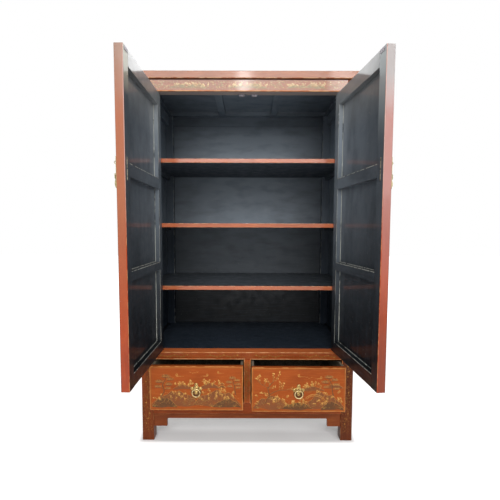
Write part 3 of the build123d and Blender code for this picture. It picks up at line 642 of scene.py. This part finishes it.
# A rim round each lock plate, which follows its notched corners, and four nail heads.
notch_radius = 13 * MM
rim_edge = 1.6 * MM
nail_edge = 6 * MM
reach = notch_radius + rim_edge
start = asin(rim_edge / reach)
turns = [start + (pi / 2 - 2 * start) * step / 6 for step in range(7)]
for side, stand in stands.items():
    low, high = shut_corners(side, "lock_plate")
    free_x, far_x, way = (high.x, low.x, 1) if side == "left" else (low.x, high.x, -1)
    outline = [(free_x - way * rim_edge, z) for z in (low.z + rim_edge, high.z - rim_edge)]
    outline += [(far_x + way * reach * cos(t), high.z - reach * sin(t)) for t in turns]
    outline += [(far_x + way * reach * cos(t), low.z + reach * sin(t)) for t in turns[::-1]]
    shape = bmesh.new()
    rim = [stand @ Vector((x, low.y, z)) for x, z in outline]
    sweep_bead(shape, rim, stand @ FRONT, 1.8 * MM, 0.7 * MM, closed=True)
    for x, inset in (
        (free_x - way * nail_edge, nail_edge),
        (far_x + way * nail_edge, notch_radius + 2 * nail_edge),
    ):
        for z in (low.z + inset, high.z - inset):
            nail = stand @ Vector((x, low.y, z))
            add_dome(shape, nail, 2.2 * MM, 1.2 * MM, stand, rings=4, spokes=12)
    add_mesh(f"{side}_lock_plate_rim", f"{side}_door", dull_brass, shape)


# --- Drawers ---
# Boxes of unfinished softwood, lapped into lacquered fronts, with their bottoms in grooves.
# They slide on runners between guides of the same bare wood.
def bare_wood(name, pale, dark, stained):
    """Planed softwood without a finish, greyed by age: dull, with lines from front to back."""
    material, tree, shader = new_material(name, Specular_IOR_Level=0.25, Roughness=0.75)
    place = add_node(tree, "TexCoord", out="Object")
    lines = cloud_noise(tree, place, 7 * MM, stretch=(1, 20, 1), detail=5.0)
    stains = clouds(tree, place, 80 * MM, (0.45, 0.75), (0.0, 0.6), seed=2.0)
    colour = layered(
        tree, pale, (add_node(tree, "MapRange", lines, 0.35, 0.7), dark), (stains, stained)
    )
    bump = add_node(tree, "Bump", {"Height": lines, "Strength": 0.4, "Distance": 0.3 * MM})
    fill(tree, shader, {"Base Color": colour, "Normal": bump})
    return material


carcass_wood = bare_wood("bare softwood in the case", "#5E4C38", "#42341F", "#2E251A")
drawer_wood = bare_wood("greyed softwood of the drawers", "#7C7464", "#565044", "#3C382F")
for name in ("drawer_runners", "drawer_guides", "floor_bearers"):
    finish_node(name, carcass_wood)
drawer_red = ("#883E16", "#9C4A1B", "#B26028", "#D08E52")
for side in door_turns:
    finish_node(f"{side}_drawer_box", drawer_wood)
    finish_node(f"{side}_drawer_bottom", drawer_wood)
    low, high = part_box(f"{side}_drawer_front")
    inner_face = block((low.x, high.x), (high.y, high.y + 0.01), (low.z, high.z))
    lacquer_node(f"{side}_drawer_front", drawer_red, "X", 0.12, black=inner_face)

# --- Gilding ---
# Landscapes and sprays brushed over the lacquer: washes of thin ink, then raised strokes of
# bronze powder in oil, brightest where it is thick and rubbed through where hands have been.

# What each paint is, how metallic and how rough.
paint_kinds = {
    "gilt": ("bronze powder", 0.2, 0.45),
    "bright": ("bright bronze powder", 0.2, 0.4),
    "olive": ("green bronze powder", 0.2, 0.5),
    "ink": ("ink", 0.0, 0.5),
    "wash": ("ink wash", 0.0, 0.5),
}


def paint_box(where, tones, coat=0.0):
    """The five paints as they look on one ground, each from its own and its rubbed colour."""
    box = {}
    for (paint, (kind, metallic, rough)), (colour, rubbed) in zip(paint_kinds.items(), tones):
        box[paint], tree, shader = new_material(
            f"{kind} on the {where}", Metallic=metallic, Roughness=rough,
            Specular_IOR_Level=0.15, Coat_Weight=coat, Coat_Roughness=0.1,
        )
        place = add_node(tree, "TexCoord", out="Object")
        wear = clouds(tree, place, 22 * MM, (0.46, 0.72), (0.0, 0.85), detail=5.0, seed=8.0)
        fill(tree, shader, {"Base Color": layered(tree, colour, (wear, rubbed))})
    return box


bright_tones = (
    ("#C08844", "#A0602C"), ("#D4A45C", "#B07236"), ("#94723C", "#84522A"),
    ("#5E3E26", "#754524"), ("#7A482A", "#884A22"),
)
dull_tones = (
    ("#A36C30", "#8A4A20"), ("#B5803C", "#96582A"), ("#84602E", "#74421E"),
    ("#56351F", "#6B3E1E"), ("#74442A", "#85461F"),
)
pale_tones = (
    ("#A88C60", "#98724C"), ("#B99C70", "#A27E56"), ("#7C6E4C", "#826644"),
    ("#6A5438", "#7A5638"), ("#786644", "#805E3E"),
)
paints = paint_box("drawers and doors", bright_tones)
dull_paints = paint_box("rails and posts", dull_tones)
# In millimetres: how far each coat stands off the face, so that later coats lie on top, how
# much further the ridge of a stroke does, how much thicker each patch is than the one before
# it, and how far below the face all of them start.
coat_lift = {"wash": 0.1, "ink": 0.16, "olive": 0.22, "gilt": 0.3, "bright": 0.36}
stroke_lift = 0.16
hair = 0.001
sunk = -0.05


def smooth(points, steps=4):
    """Points along the smooth curve that runs through the given points."""
    line = []
    padded = [points[0], *points, points[-1]]
    for around in zip(padded, padded[1:], padded[2:], padded[3:]):
        for t in [step / steps for step in range(steps)]:
            line.append([
                q + (r - p) * t / 2 + (p - 2.5 * q + 2 * r - s / 2) * t**2
                + (1.5 * (q - r) + (s - p) / 2) * t**3
                for p, q, r, s in zip(*around)
            ])
    return [*line, points[-1]]


def placed(points, x, y, across, up=None):
    """Points that are given in shares of a size, laid out from a place."""
    return [(x + px * across, y + py * (up or across)) for px, py in points]


def off(x, y, reach, angle):
    """The place at a distance from another, along an angle."""
    return x + reach * cos(angle), y + reach * sin(angle)


def ring_points(x, y, across, up=None, count=10):
    """Points round an ellipse."""
    turns = [2 * pi * number / count for number in range(count)]
    return placed([(cos(turn), sin(turn)) for turn in turns], x, y, across, up)


class Painting:
    """Paint on one flat face, laid out in millimetres across and up from its lower corner."""

    def __init__(self, name, body, corner, seed, colours=paints, stand=SQUARE):
        self.name, self.body, self.corner, self.colours = name, body, corner, colours
        self.across, self.out = stand @ ACROSS, stand @ FRONT
        self.layers, self.patches, self.hand = defaultdict(bmesh.new), 0, random.Random(seed)

    def spot(self, paint, x, y, lift):
        """A new vertex at a place on the face, some millimetres off it."""
        place = self.across * x + Vector((0, 0, 1)) * y + self.out * lift
        return self.layers[paint].verts.new(self.corner + place * MM)

    def stroke(self, paint, points, *widths):
        """A brush stroke: a low ridge along a smooth curve, as wide as the widths say."""
        line = smooth(points)
        top, last = coat_lift[paint] + stroke_lift, len(line) - 1
        rings = []
        for number, (x, y) in enumerate(line):
            ahead, behind = line[min(number + 1, last)], line[max(number - 1, 0)]
            run = Vector((ahead[0] - behind[0], ahead[1] - behind[1])).normalized()
            part = number / last * (len(widths) - 1)
            first = min(int(part), len(widths) - 2)
            width = widths[first] + (widths[first + 1] - widths[first]) * (part - first)
            ring = []
            for reach, lift in ((-0.5, sunk), (-0.28, top), (0.28, top), (0.5, sunk)):
                aside = width * reach
                ring.append(self.spot(paint, x - run.y * aside, y + run.x * aside, lift))
            rings.append(ring)
        skin_rings(self.layers[paint], rings)

    def patch(self, paint, outline):
        """A flat coat of paint inside an outline, a hair thicker than the one before it."""
        self.patches += 1
        levels = (coat_lift[paint] + self.patches % 50 * hair, sunk)
        rings = [[self.spot(paint, x, y, level) for x, y in outline] for level in levels]
        skin_rings(self.layers[paint], rings)

    def add(self, *motifs):
        """Paints motifs, each given as its function and what that takes for every place."""
        for motif, *places in motifs:
            for place in places:
                motif(self, *place)
        return self

    def finish(self):
        """Turns each paint's strokes and patches into one piece that rides on the body."""
        for paint, shape in self.layers.items():
            name = f"{self.name}_scene_{paint}"
            add_mesh(name, self.body, self.colours[paint], shape)


def blossom(art, x, y, size, paint="bright"):
    """A flower of five petals with a bright eye."""
    turn = art.hand.uniform(0, 2 * pi)
    for petal in range(5):
        middle = off(x, y, 0.58 * size, turn + 2 * pi * petal / 5)
        art.patch(paint, ring_points(*middle, size * 0.46, count=8))
    art.patch("bright", ring_points(x, y, size * 0.2, count=6))


def leaf(art, x, y, length, angle, paint="olive"):
    """A pointed leaf that grows from a place at an angle."""
    ahead, aside = length * cos(angle), length * sin(angle)
    edge = ((0, 0), (0.3, 0.18936), (0.65, 0.17169), (1, 0), (0.65, -0.17169), (0.3, -0.18936))
    art.patch(paint, [(x + ahead * a - aside * b, y + aside * a + ahead * b) for a, b in edge])


def tuft(art, x, y, size):
    """A tuft of grass: six blades that fan out from one root."""
    for blade in range(6):
        angle = pi / 2 - 1 + 0.4 * blade + art.hand.uniform(-0.15, 0.15)
        length = size * art.hand.uniform(0.7, 1.1)
        tip = (x + length * cos(angle) * 1.25, y + length * sin(angle) * 0.9)
        art.stroke("olive", [(x, y), off(x, y, 0.6 * length, angle), tip], 1.6, 1.4, 0.4)


def spray(art, x, y, length, angle, size=3.2):
    """A flowering twig: a bent stem with leaves along it and blossoms towards its tip."""
    hand = art.hand
    bend = hand.uniform(-0.5, 0.5)
    points = [off(x, y, length * part, angle + bend * part) for part in (0, 0.33, 0.66, 1)]
    art.stroke("olive", points, 1.6, 1.2, 0.6)
    line = smooth(points)
    for number in range(2, len(line), 2):
        side, place = 1 if number % 4 else -1, line[number]
        leaf(art, *place, size * 1.9, angle + side * hand.uniform(0.6, 1.2))
        if number > len(line) // 3 or hand.random() < 0.4:
            flower = off(*place, size * 1.7, angle - side * hand.uniform(0.5, 1.3))
            blossom(art, *flower, size * hand.uniform(0.7, 1.1), "gilt")
    blossom(art, *points[-1], size)


def rock(art, left, right, foot, height, paint="wash"):
    """A rock or near hill: a washed mass, a gilt ridge line and strokes down its flanks."""
    hand, span = art.hand, right - left
    count = max(4, int(span / 19))
    ridge = []
    for part in [number / count for number in range(count + 1)]:
        rise = sin(pi * (0.02 + 0.96 * part)) ** 0.8 * hand.uniform(0.74, 1.0)
        ridge.append((left + span * part, foot + height * rise))
    base = [
        (left + span * part, foot + hand.uniform(-0.06, 0.12) * height)
        for part in (0.98, 0.8, 0.6, 0.4, 0.2, 0.02)
    ]
    art.patch(paint, smooth(ridge, 3) + smooth(base, 3))
    art.stroke("gilt", ridge, 0.5, 1.5, 0.7, 1.4, 0.5)
    for number in range(1, 2 * count):
        x, y = ridge[(number + 1) // 2]
        drop = (y - foot) * hand.uniform(0.2, 0.7)
        lean = hand.uniform(-0.6, 0.4) * drop
        x += hand.uniform(-4, 4)
        points = [(x, y - 3), (x + lean * 0.3, y - drop * 0.5), (x + lean, y - drop)]
        art.stroke(hand.choice(("olive", "olive", "ink", "gilt")), points, 1.6, 1.1, 0.4)


def pine(art, x, y, height, lean):
    """A pine: a bent trunk and flat pads of needles drawn as fans of strokes."""
    trunk = [
        (x, y),
        (x + lean * 0.5 + height * 0.05, y + height * 0.3),
        (x + lean * 0.4, y + height * 0.6),
        (x + lean, y + height * 0.95),
    ]
    art.stroke("ink", trunk, height * 0.07, height * 0.045, height * 0.025)
    art.stroke("olive", [(px - height * 0.02, py) for px, py in trunk], 1.2, 1.0, 0.6)
    edge = []
    for number in range(16):
        turn, lobe = pi * number / 8, 0.92 if number % 2 else 0.74
        edge.append((lobe * cos(turn), lobe * sin(turn) * (1 if number < 8 else 0.3)))
    for part, side, size in (
        (0.42, 1, 0.26), (0.5, -1, 0.3), (0.62, 1, 0.34),
        (0.76, -1, 0.36), (0.88, 1, 0.32), (1.02, 0, 0.38),
    ):
        pad_x, pad_y = x + lean * part + side * height * 0.26, y + height * part
        root = (x + lean * part * 0.9, y + height * (part - 0.08))
        art.stroke("ink", [root, (pad_x, pad_y - 1)], 2.0, 1.0)
        wide, tall = height * size * 0.62, height * size * 0.46
        art.patch("wash", placed(edge, pad_x, pad_y, wide, tall))
        root_y = pad_y + tall * 0.1
        for root_x in [pad_x + wide * cluster for cluster in (-0.6, -0.2, 0.2, 0.6)]:
            for turn in [pi * (0.04 + 0.92 * needle / 6) for needle in range(7)]:
                reach = art.hand.uniform(0.8, 1.15)
                up = tall * 0.9 * reach * sin(turn)
                tip = (root_x + wide * 0.5 * reach * cos(turn), root_y + up)
                paint = art.hand.choice(("olive", "gilt", "gilt", "bright"))
                art.stroke(paint, [(root_x, root_y), tip], 0.5, 0.8, 0.3)


def cloud(art, x, y, size, way=1):
    """A curled cloud: two scrolls, each running out into a long tail."""
    for scale, drop in ((1.0, 0.0), (0.6, -0.2)):
        tail = ((1.7, 0.42), (0.8, 0.3))
        points = [(way * scale * part, drop - scale * fall) for part, fall in tail]
        for part in [step / 8 for step in range(9)]:
            turn, reach = pi * (0.1 + 2.1 * part), 0.34 * scale * (1.0 - 0.75 * part)
            points.append((-way * reach * sin(turn), drop - reach * cos(turn)))
        art.stroke("gilt", placed(points, x, y, size), 0.6, 2.0, 2.4, 1.8, 1.0)


def waves(art, left, right, foot, rows, pitch=16.0):
    """Water: rows of long shallow ripples."""
    hand = art.hand
    for row in range(rows):
        x, level = left + hand.uniform(0, pitch), foot + row * 5.5
        while x < right - pitch:
            end = min(x + pitch * hand.uniform(0.8, 1.9), right)
            points = [(x, level), ((x + end) / 2, level + 1.8), (end, level)]
            art.stroke("olive", points, 0.5, 1.5, 0.5)
            x = end + pitch * hand.uniform(0.2, 0.8)


def pavilion(art, x, y, size):
    """A pavilion on a terrace: posts, a rail and two sweeping roofs."""
    slope = [(-1, 0.02), (-0.72, 0.1), (-0.3, 0.3), (0, 0.36)]
    edge = slope + [(-px, py) for px, py in slope[-2::-1]] + [(0.5, 0), (-0.5, 0)]
    for level, scale in ((0.62, 1.0), (1.08, 0.62)):
        eaves, reach = y + size * level, size * scale
        roof = placed(edge, x, eaves, reach * 0.62, reach)
        art.patch("ink", roof)
        art.stroke("bright", roof[:4], 1.0, 2.2, 1.6)
        art.stroke("bright", roof[3:7], 1.6, 2.2, 1.0)
        for rib in (-0.3, -0.1, 0.1, 0.3):
            top = (x + rib * reach * 0.7, eaves + 0.26 * reach)
            art.stroke("gilt", [top, (x + rib * reach * 1.25, eaves + 0.03 * size)], 0.9, 1.2)
    lines = [[(post, 0), (post, 0.63)] for post in (-0.4, -0.15, 0.15, 0.4)]
    for end, level in ((0.6, 0), (0.42, 0.16), (0.42, 0.24)):
        lines.append([(-end, level), (end, level)])
    for line in lines:
        art.stroke("gilt", placed(line, x, y, size), 1.8, 1.8)
    art.stroke("gilt", [(x, y + size * 1.28), (x, y + size * 1.5)], 2.2, 0.6)


def boat(art, x, y, size):
    """A moored boat with a rounded mat roof."""
    hull = [(-1, 0.26), (-0.5, 0.02), (0.5, 0), (1, 0.3), (0.5, 0.16), (-0.5, 0.17)]
    hull = placed(hull, x, y, size)
    art.patch("ink", hull)
    art.stroke("gilt", hull[:4], 0.8, 1.8, 0.8)
    roof = [(-0.35, 0.18), (0, 0.52), (0.35, 0.18)]
    art.stroke("gilt", placed(roof, x, y, size), 1.4, 2.2, 1.4)


def geese(art, x, y, size, count):
    """A skein of geese far off, two strokes each."""
    for number in range(count):
        bird = (x + number * size * 1.9, y + size * 0.8 * abs(number - count / 3), size)
        art.stroke("gilt", placed([(-1, 0.5), (-0.3, 0.45), (0, 0)], *bird), 0.5, 1.5, 1.0)
        art.stroke("gilt", placed([(0, 0), (0.4, 0.5), (1, 0.4)], *bird), 1.0, 1.5, 0.5)


def vine(art, start, end, swing, pitch, size):
    """A trailing vine: a waving stem with leaves and a blossom at each bend."""
    hand = art.hand
    start, run = Vector(start), Vector(end) - Vector(start)
    length = run.length
    along, aside = run / length, Vector((-run.y, run.x)) / length
    bends = 2 * max(2, round(length / pitch))
    points = []
    for number in range(bends + 1):
        side = aside * (swing * (0, 1, 0, -1)[number % 4])
        points.append(tuple(start + along * (length * number / bends) + side))
    art.stroke("olive", points, 1.0, 1.6, 1.6, 1.0)
    for number, place in enumerate(points[1:-1], 1):
        angle = hand.uniform(0, 2 * pi)
        if number % 2:
            blossom(art, *place, size * hand.uniform(0.8, 1.15), hand.choice(("gilt", "bright")))
        for _ in range(3):
            angle += hand.uniform(1.4, 2.4)
            long = size * hand.uniform(1.8, 2.6)
            leaf(art, *place, long, angle, hand.choice(("olive", "gilt")))


def bridge(art, x, y, size):
    """A humped bridge with a rail on short posts."""
    deck = placed([(-1, 0), (-0.5, 0.32), (0, 0.42), (0.5, 0.32), (1, 0)], x, y, size)
    art.stroke("gilt", deck, 1.6, 2.4, 1.6)
    art.stroke("bright", [(px, py + size * 0.2) for px, py in deck], 1.2, 1.6, 1.2)
    art.stroke("ink", [(px, py - size * 0.1) for px, py in deck[1:-1]], 1.2, 2.0, 1.2)
    for px, py in smooth(deck, 3):
        art.stroke("gilt", [(px, py), (px, py + size * 0.22)], 1.3, 1.3)


def branch(art, width, *points):
    """A bare branch, lit along one side."""
    art.stroke("ink", points, width, width * 0.7, width * 0.35)
    art.stroke("olive", [(x - 1, y + 1) for x, y in points], 1.2, 1.0, 0.6)


def gold_dust(art, left, right, low, high, count):
    """Gold powder blown on to the wet lacquer, drawn here as coarse as it needs to show."""
    hand = art.hand
    for _ in range(count):
        x, y, size = hand.uniform(left, right), hand.uniform(low, high), hand.uniform(0.7, 1.7)
        art.patch(hand.choice(("gilt", "olive")), ring_points(x, y, size, count=5))


def frame_lines(art, wide, tall):
    """A double gilt line round the edge of a painted field."""
    for inset, paint, width in ((3.2, "gilt", 1.7), (8.2, "olive", 0.8)):
        right, top = wide - inset, tall - inset
        corners = [(inset, inset), (right, inset), (right, top), (inset, top)]
        for one, other in zip(corners, corners[1:] + corners[:1]):
            middle = ((one[0] + other[0]) / 2, (one[1] + other[1]) / 2)
            art.stroke(paint, [one, middle, other], width, width)


def thicket(art, left, right, low, high, count, size):
    """A bank of small flowering twigs that lean out from its middle."""
    hand = art.hand
    for _ in range(count):
        x, y = hand.uniform(left, right), hand.uniform(low, high)
        lean = pi / 2 - (x - (left + right) / 2) / (right - left) * 1.6
        spray(art, x, y, size * hand.uniform(5, 9), lean + hand.uniform(-0.3, 0.3), size)


# Drawer fronts: a lake with a pavilion on the left, a plum tree and a bridge on the right.
low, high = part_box("left_drawer_front")
wide, tall = (high.x - low.x) / MM, (high.z - low.z) / MM
# An ink disc behind each ring plate is a painted shadow of the ring on the lacquer.
painted_ring_shadow = ("ink", ring_points(wide / 2, 90, 25, 23, 20))
Painting("left_drawer", "left_drawer", low, 11).add(
    (frame_lines, (wide, tall)),
    (rock, (112, 214, 104, 26), (236, 346, 108, 28), (8, 240, 22, 84), (206, 441, 16, 96)),
    (rock, (10, 132, 12, 56, "ink"), (300, 440, 12, 54, "ink")),
    (Painting.patch, painted_ring_shadow),
    (pine, (52, 66, 96, 26)),
    (pavilion, (348, 92, 34)),
    (pine, (412, 78, 78, -14)),
    (waves, (150, 284, 26, 5), (120, 300, 84, 3)),
    (boat, (214, 58, 20)),
    (cloud, (132, 176, 20), (276, 176, 18, -1), (330, 190, 16)),
    (geese, (196, 180, 6, 4)),
    (tuft, (24, 18, 16), (120, 16, 14), (300, 18, 18), (336, 16, 13), (408, 18, 17)),
    (thicket, (130, 206, 114, 132, 12, 2.4), (256, 330, 118, 138, 12, 2.4)),
    (thicket, (230, 400, 40, 96, 22, 2.2), (30, 180, 40, 80, 14, 2.2)),
    (gold_dust, (20, 428, 18, 90, 150)),
).finish()
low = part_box("right_drawer_front")[0]
Painting("right_drawer", "right_drawer", low, 23).add(
    (frame_lines, (wide, tall)),
    (rock, (8, 190, 14, 74), (250, 441, 14, 92), (330, 440, 10, 50, "ink")),
    (rock, (140, 296, 10, 40, "ink"), (240, 348, 104, 24), (346, 438, 116, 24)),
    (Painting.patch, painted_ring_shadow),
    (branch, (7.0, (60, 40), (84, 82), (78, 116), (104, 150))),
    (branch, (4.0, (84, 84), (122, 104), (166, 108)), (3.2, (80, 118), (44, 138), (22, 162))),
    (spray, (104, 150, 52, 0.5), (104, 148, 40, 1.6), (166, 108, 46, 0.5), (132, 106, 40, 1.2)),
    (spray, (22, 162, 24, 0.7), (44, 138, 34, 2.0), (80, 116, 34, 0.2), (92, 132, 36, 2.4)),
    (spray, (146, 108, 34, 1.7), (62, 132, 26, 1.4), (84, 84, 40, 2.7), (74, 66, 34, 0.2)),
    (bridge, (300, 62, 42)),
    (pine, (392, 74, 92, -24)),
    (waves, (110, 320, 26, 4), (180, 330, 96, 3)),
    (cloud, (226, 180, 20), (330, 170, 18, -1)),
    (geese, (262, 164, 6, 3)),
    (tuft, (30, 16, 15), (132, 16, 18), (198, 30, 16), (346, 16, 17), (424, 18, 14)),
    (thicket, (170, 262, 26, 44, 12, 2.4), (262, 340, 112, 132, 12, 2.4)),
    (thicket, (300, 434, 30, 96, 20, 2.2), (20, 170, 30, 76, 14, 2.2)),
    (gold_dust, (20, 428, 18, 90, 150)),
).finish()

# Frieze: three far shores in thin wash between vines, under the same polish as the rail.
frieze_paints = paint_box("frieze", pale_tones, frieze_coat)
corner = Vector((-post_inner_x, front_y, head_level))
frieze = Painting("frieze", "cabinet", corner, 31, frieze_paints)
frieze_wide, frieze_tall = 2 * post_inner_x / MM, (under_top - head_level) / MM
for x in (190, 470, 750):
    frieze.add(
        (rock, (x - 92, x + 6, 16, 17), (x - 20, x + 88, 15, 22)),
        (thicket, (x - 90, x + 90, 16, 28, 26, 1.8)),
        (waves, (x - 110, x + 110, 11, 2)),
        (pavilion, (x + 34, 24, 13)),
    )
for start, end in ((12, 86), (296, 372), (572, 648), (852, 932)):
    vine(frieze, (start, 30), (end, 30), 12, 20, 2.3)
    vine(frieze, (start, 20), (end, 38), 10, 24, 2.1)
gold_dust(frieze, 8, frieze_wide - 8, 8, frieze_tall - 7, 1500)
frieze.finish()

# Waist rail, divider and posts: trailing vines in gold dust.
waist_corner = Vector((-post_inner_x, front_y, drawer_ceiling))
waist_runs = ((24, 190), (270, 440), (500, 660), (740, 920))
waist_vines = [((start, 18), (end, 18), 5, 32, 3.0) for start, end in waist_runs]
waist_dust = (10, frieze_wide - 10, 9, 30, 420)
divider_corner = Vector((-divider_half, front_y, drawer_floor))
divider_vines, divider_dust = [((17.5, 12), (17.5, 210), 5, 34, 3.2)], (6, 29, 6, 216, 260)
post_vines, post_dust = [((29, 60), (29, 1750), 8, 54, 3.0)], (6, 52, 40, 1750, 1500)
for name, corner, seed, vines, dust in (
    ("waist", waist_corner, 37, waist_vines, waist_dust),
    ("divider", divider_corner, 41, divider_vines, divider_dust),
    ("left_post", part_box("front_left_post")[0], 42, post_vines, post_dust),
    ("right_post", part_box("front_right_post")[0], 44, post_vines, post_dust),
):
    band = Painting(name, "cabinet", corner, seed, dull_paints)
    band.add((vine, *vines), (gold_dust, dust)).finish()

# Doors: a border of vines on the frame, and on the panel a tall garden under pines.
for side, seed in (("left", 61), ("right", 67)):
    low, high = door_corners[side]
    wide, tall = (high.x - low.x) / MM, (high.z - low.z) / MM
    stand = stands[side]
    door = Painting(side + "_door", side + "_door", stand @ low, seed, stand=stand)
    for start, end in (
        ((22, 60), (22, tall - 60)),
        ((wide - 24, 60), (wide - 24, tall / 2 + 120)),
        ((60, 28), (wide - 60, 28)),
        ((60, tall - 30), (wide - 60, tall - 30)),
    ):
        vine(door, start, end, 7, 58, 5.0)
    left, right = 52, wide - 58
    for start, end, *hill in (
        (0.05, 0.7, 800, 90), (0.4, 0.98, 740, 110), (0.02, 0.5, 600, 120),
        (0.5, 0.98, 520, 150), (0.02, 0.6, 330, 150), (0.35, 0.98, 220, 170),
        (0.02, 0.5, 70, 190), (0.45, 0.98, 62, 120, "ink"), (0.02, 0.3, 60, 80, "ink"),
        (0.7, 0.98, 500, 70, "ink"),
    ):
        rock(door, left + start * (right - left), left + end * (right - left), *hill)
    for foot, rows in ((78, 4), (300, 3), (560, 4), (700, 3)):
        waves(door, left + 10, right - 10, foot, rows, 22)
    middle = (left + right) / 2
    door.add(
        (pavilion, (middle + 60, 400, 84), (middle - 80, 690, 54)),
        (bridge, (middle - 60, 300, 60)),
        (boat, (middle - 40, 560, 36)),
        (pine, (left + 60, 150, 210, 40), (right - 60, 600, 260, -50), (left + 40, 620, 150, 30)),
        (spray, (70, 760, 150, 1.0, 6.0), (80, 800, 130, 0.4, 6.0), (200, 120, 120, 1.3, 6.0)),
        (spray, (300, 110, 110, 1.8, 6.0), (90, 420, 100, 1.1, 6.0), (340, 400, 90, 2.0, 6.0)),
    )
    for foot, size in ((190, 5.0), (470, 5.0), (860, 4.6)):
        thicket(door, left + 30, right - 30, foot, foot + 50, 9, size)
    for number in range(5):
        cloud(door, left + 60 + 62 * number, 930 + 50 * number, 34, 1 if number % 2 else -1)
    geese(door, 170, 1180, 12, 6)
    for number in range(8):
        tuft(door, left + 20 + 42 * number, 66, door.hand.uniform(22, 34))
    gold_dust(door, left, right, 60, 1180, 700)
    door.finish()

# --- Studio ---
# A pale floor in a white room, soft boxes in front and above, and the camera at standing
# height before the cabinet.
def seen_rays(tree):
    """1 for rays that show the background itself: camera, glossy and transmission rays."""
    path = add_node(tree, "LightPath", out=None)
    seen = path["Is Camera Ray"]
    for other in ("Is Glossy Ray", "Is Transmission Ray"):
        seen = add_node(tree, "Math", seen, path[other], operation="MAXIMUM")
    return seen


room_light = 0.45
world = bpy.data.worlds.new("white room")
bpy.context.scene.world = world
world.use_nodes = True
tree = world.node_tree
strength = add_node(tree, "MapRange", seen_rays(tree), 0.0, 1.0, room_light)
fill(tree, tree.nodes["Background"], {"Color": (1, 1, 1, 1), "Strength": strength})

floor_mesh = bpy.data.meshes.new("floor")
reach = 12.0
corners = [(-reach, -reach, 0), (reach, -reach, 0), (reach, reach, 0), (-reach, reach, 0)]
floor_mesh.from_pydata(corners, [], [(0, 1, 2, 3)])
floor = bpy.data.objects.new("floor", floor_mesh)
bpy.context.scene.collection.objects.link(floor)
floor_paint, tree, _ = new_material("pale floor")
tree.nodes.clear()
# The floor's own light fades under the cabinet, where its shadow lies, and is full far out.
near_light = 0.5
place = add_node(tree, "TexCoord", out="Object")
footprint = block((-half_width, half_width), (front_y, back_y), (0, 0))
past = add_node(tree, "VectorMath", beyond(tree, place, *footprint), (0, 0, 0), operation="MAXIMUM")
past = add_node(tree, "VectorMath", past, out="Value", operation="LENGTH")
depth = add_node(tree, "SeparateXYZ", place, out=1)
# Under the cabinet the glow rises from front to back, painted light that evens out its shadow
# there.
under = add_node(tree, "MapRange", depth, front_y + 0.06, front_y + 0.17, 0.01, 0.36)
near = add_node(tree, "MapRange", past, 0.0, 0.03, under, near_light, **SMOOTH)
far = add_node(tree, "MapRange", past, 0.6, 2.4, 0.0, 1.0 - near_light, **SMOOTH)
glow = add_node(tree, "Math", near, far, operation="ADD")
glow = add_node(tree, "Math", glow, seen_rays(tree), operation="MULTIPLY")
matt = add_node(tree, "BsdfDiffuse", "#EDEDED")
both = add_node(tree, "AddShader", matt, add_node(tree, "Emission", {"Strength": glow}))
add_node(tree, "OutputMaterial", both, out=None)
floor_mesh.materials.append(floor_paint)

# Soft boxes: where each hangs, what it is aimed at, its width and height, and its brightness.
for name, place, aim, size, brightness in (
    ("upper soft box", (-0.3, -3.5, 3.1), (0, 0, 1.2), (2.8, 1.0), 7.2),
    ("middle soft box", (-0.2, -3.55, 2.25), (0, 0, 1.1), (2.8, 0.7), 4.2),
    ("lower soft box", (-0.2, -3.6, 1.55), (0, 0, 1.0), (2.8, 0.7), 1.7),
    ("strip light", (-0.056, -3.4, 3.1), (0, 0, 1.7), (0.16, 1.2), 22.0),
    ("side strip", (1.33, -3.4, 3.1), (0.4, 0, 1.7), (0.36, 0.9), 15.0),
    ("window", (2.75, -3.5, 3.3), (0.5, -0.5, 1.4), (0.7, 1.1), 12.0),
    ("low window", (2.75, -3.5, 2.1), (0.5, -0.5, 1.2), (0.7, 1.2), 5.0),
    ("back soft box", (0, 1.8, 3.2), (0, -0.4, 1.5), (2.4, 1.2), 3.0),
):
    lamp = bpy.data.lights.new(name, "AREA")
    lamp.shape = "RECTANGLE"
    lamp.size, lamp.size_y = size
    lamp.energy = brightness * pi * size[0] * size[1]
    box = bpy.data.objects.new(name, lamp)
    box.location = place
    box.rotation_euler = (Vector(aim) - Vector(place)).to_track_quat("-Z", "Y").to_euler()
    box.visible_camera = False
    bpy.context.scene.collection.objects.link(box)

camera_data = bpy.data.cameras.new("camera")
camera = bpy.data.objects.new("camera", camera_data)
bpy.context.scene.collection.objects.link(camera)
bpy.context.scene.camera = camera
image_width = 500.0
focal_length = 346.82 / image_width  # in image widths
camera_data.sensor_width = 36.0
camera_data.lens = focal_length * camera_data.sensor_width
camera_data.shift_x, camera_data.shift_y = 3.14 / image_width, 2.80 / image_width
stance = Matrix.Rotation(0.0012, 4, "Z") @ Matrix.Rotation(-0.0679, 4, "X")
stance = stance @ Matrix.Rotation(-0.0029, 4, "Y") @ Matrix.Rotation(pi / 2, 4, "X")
stance.translation = Vector((-0.0020, front_y - 1.6923, 1.0693))
camera.matrix_world = stance
bpy.context.scene.view_settings.view_transform = "Standard"
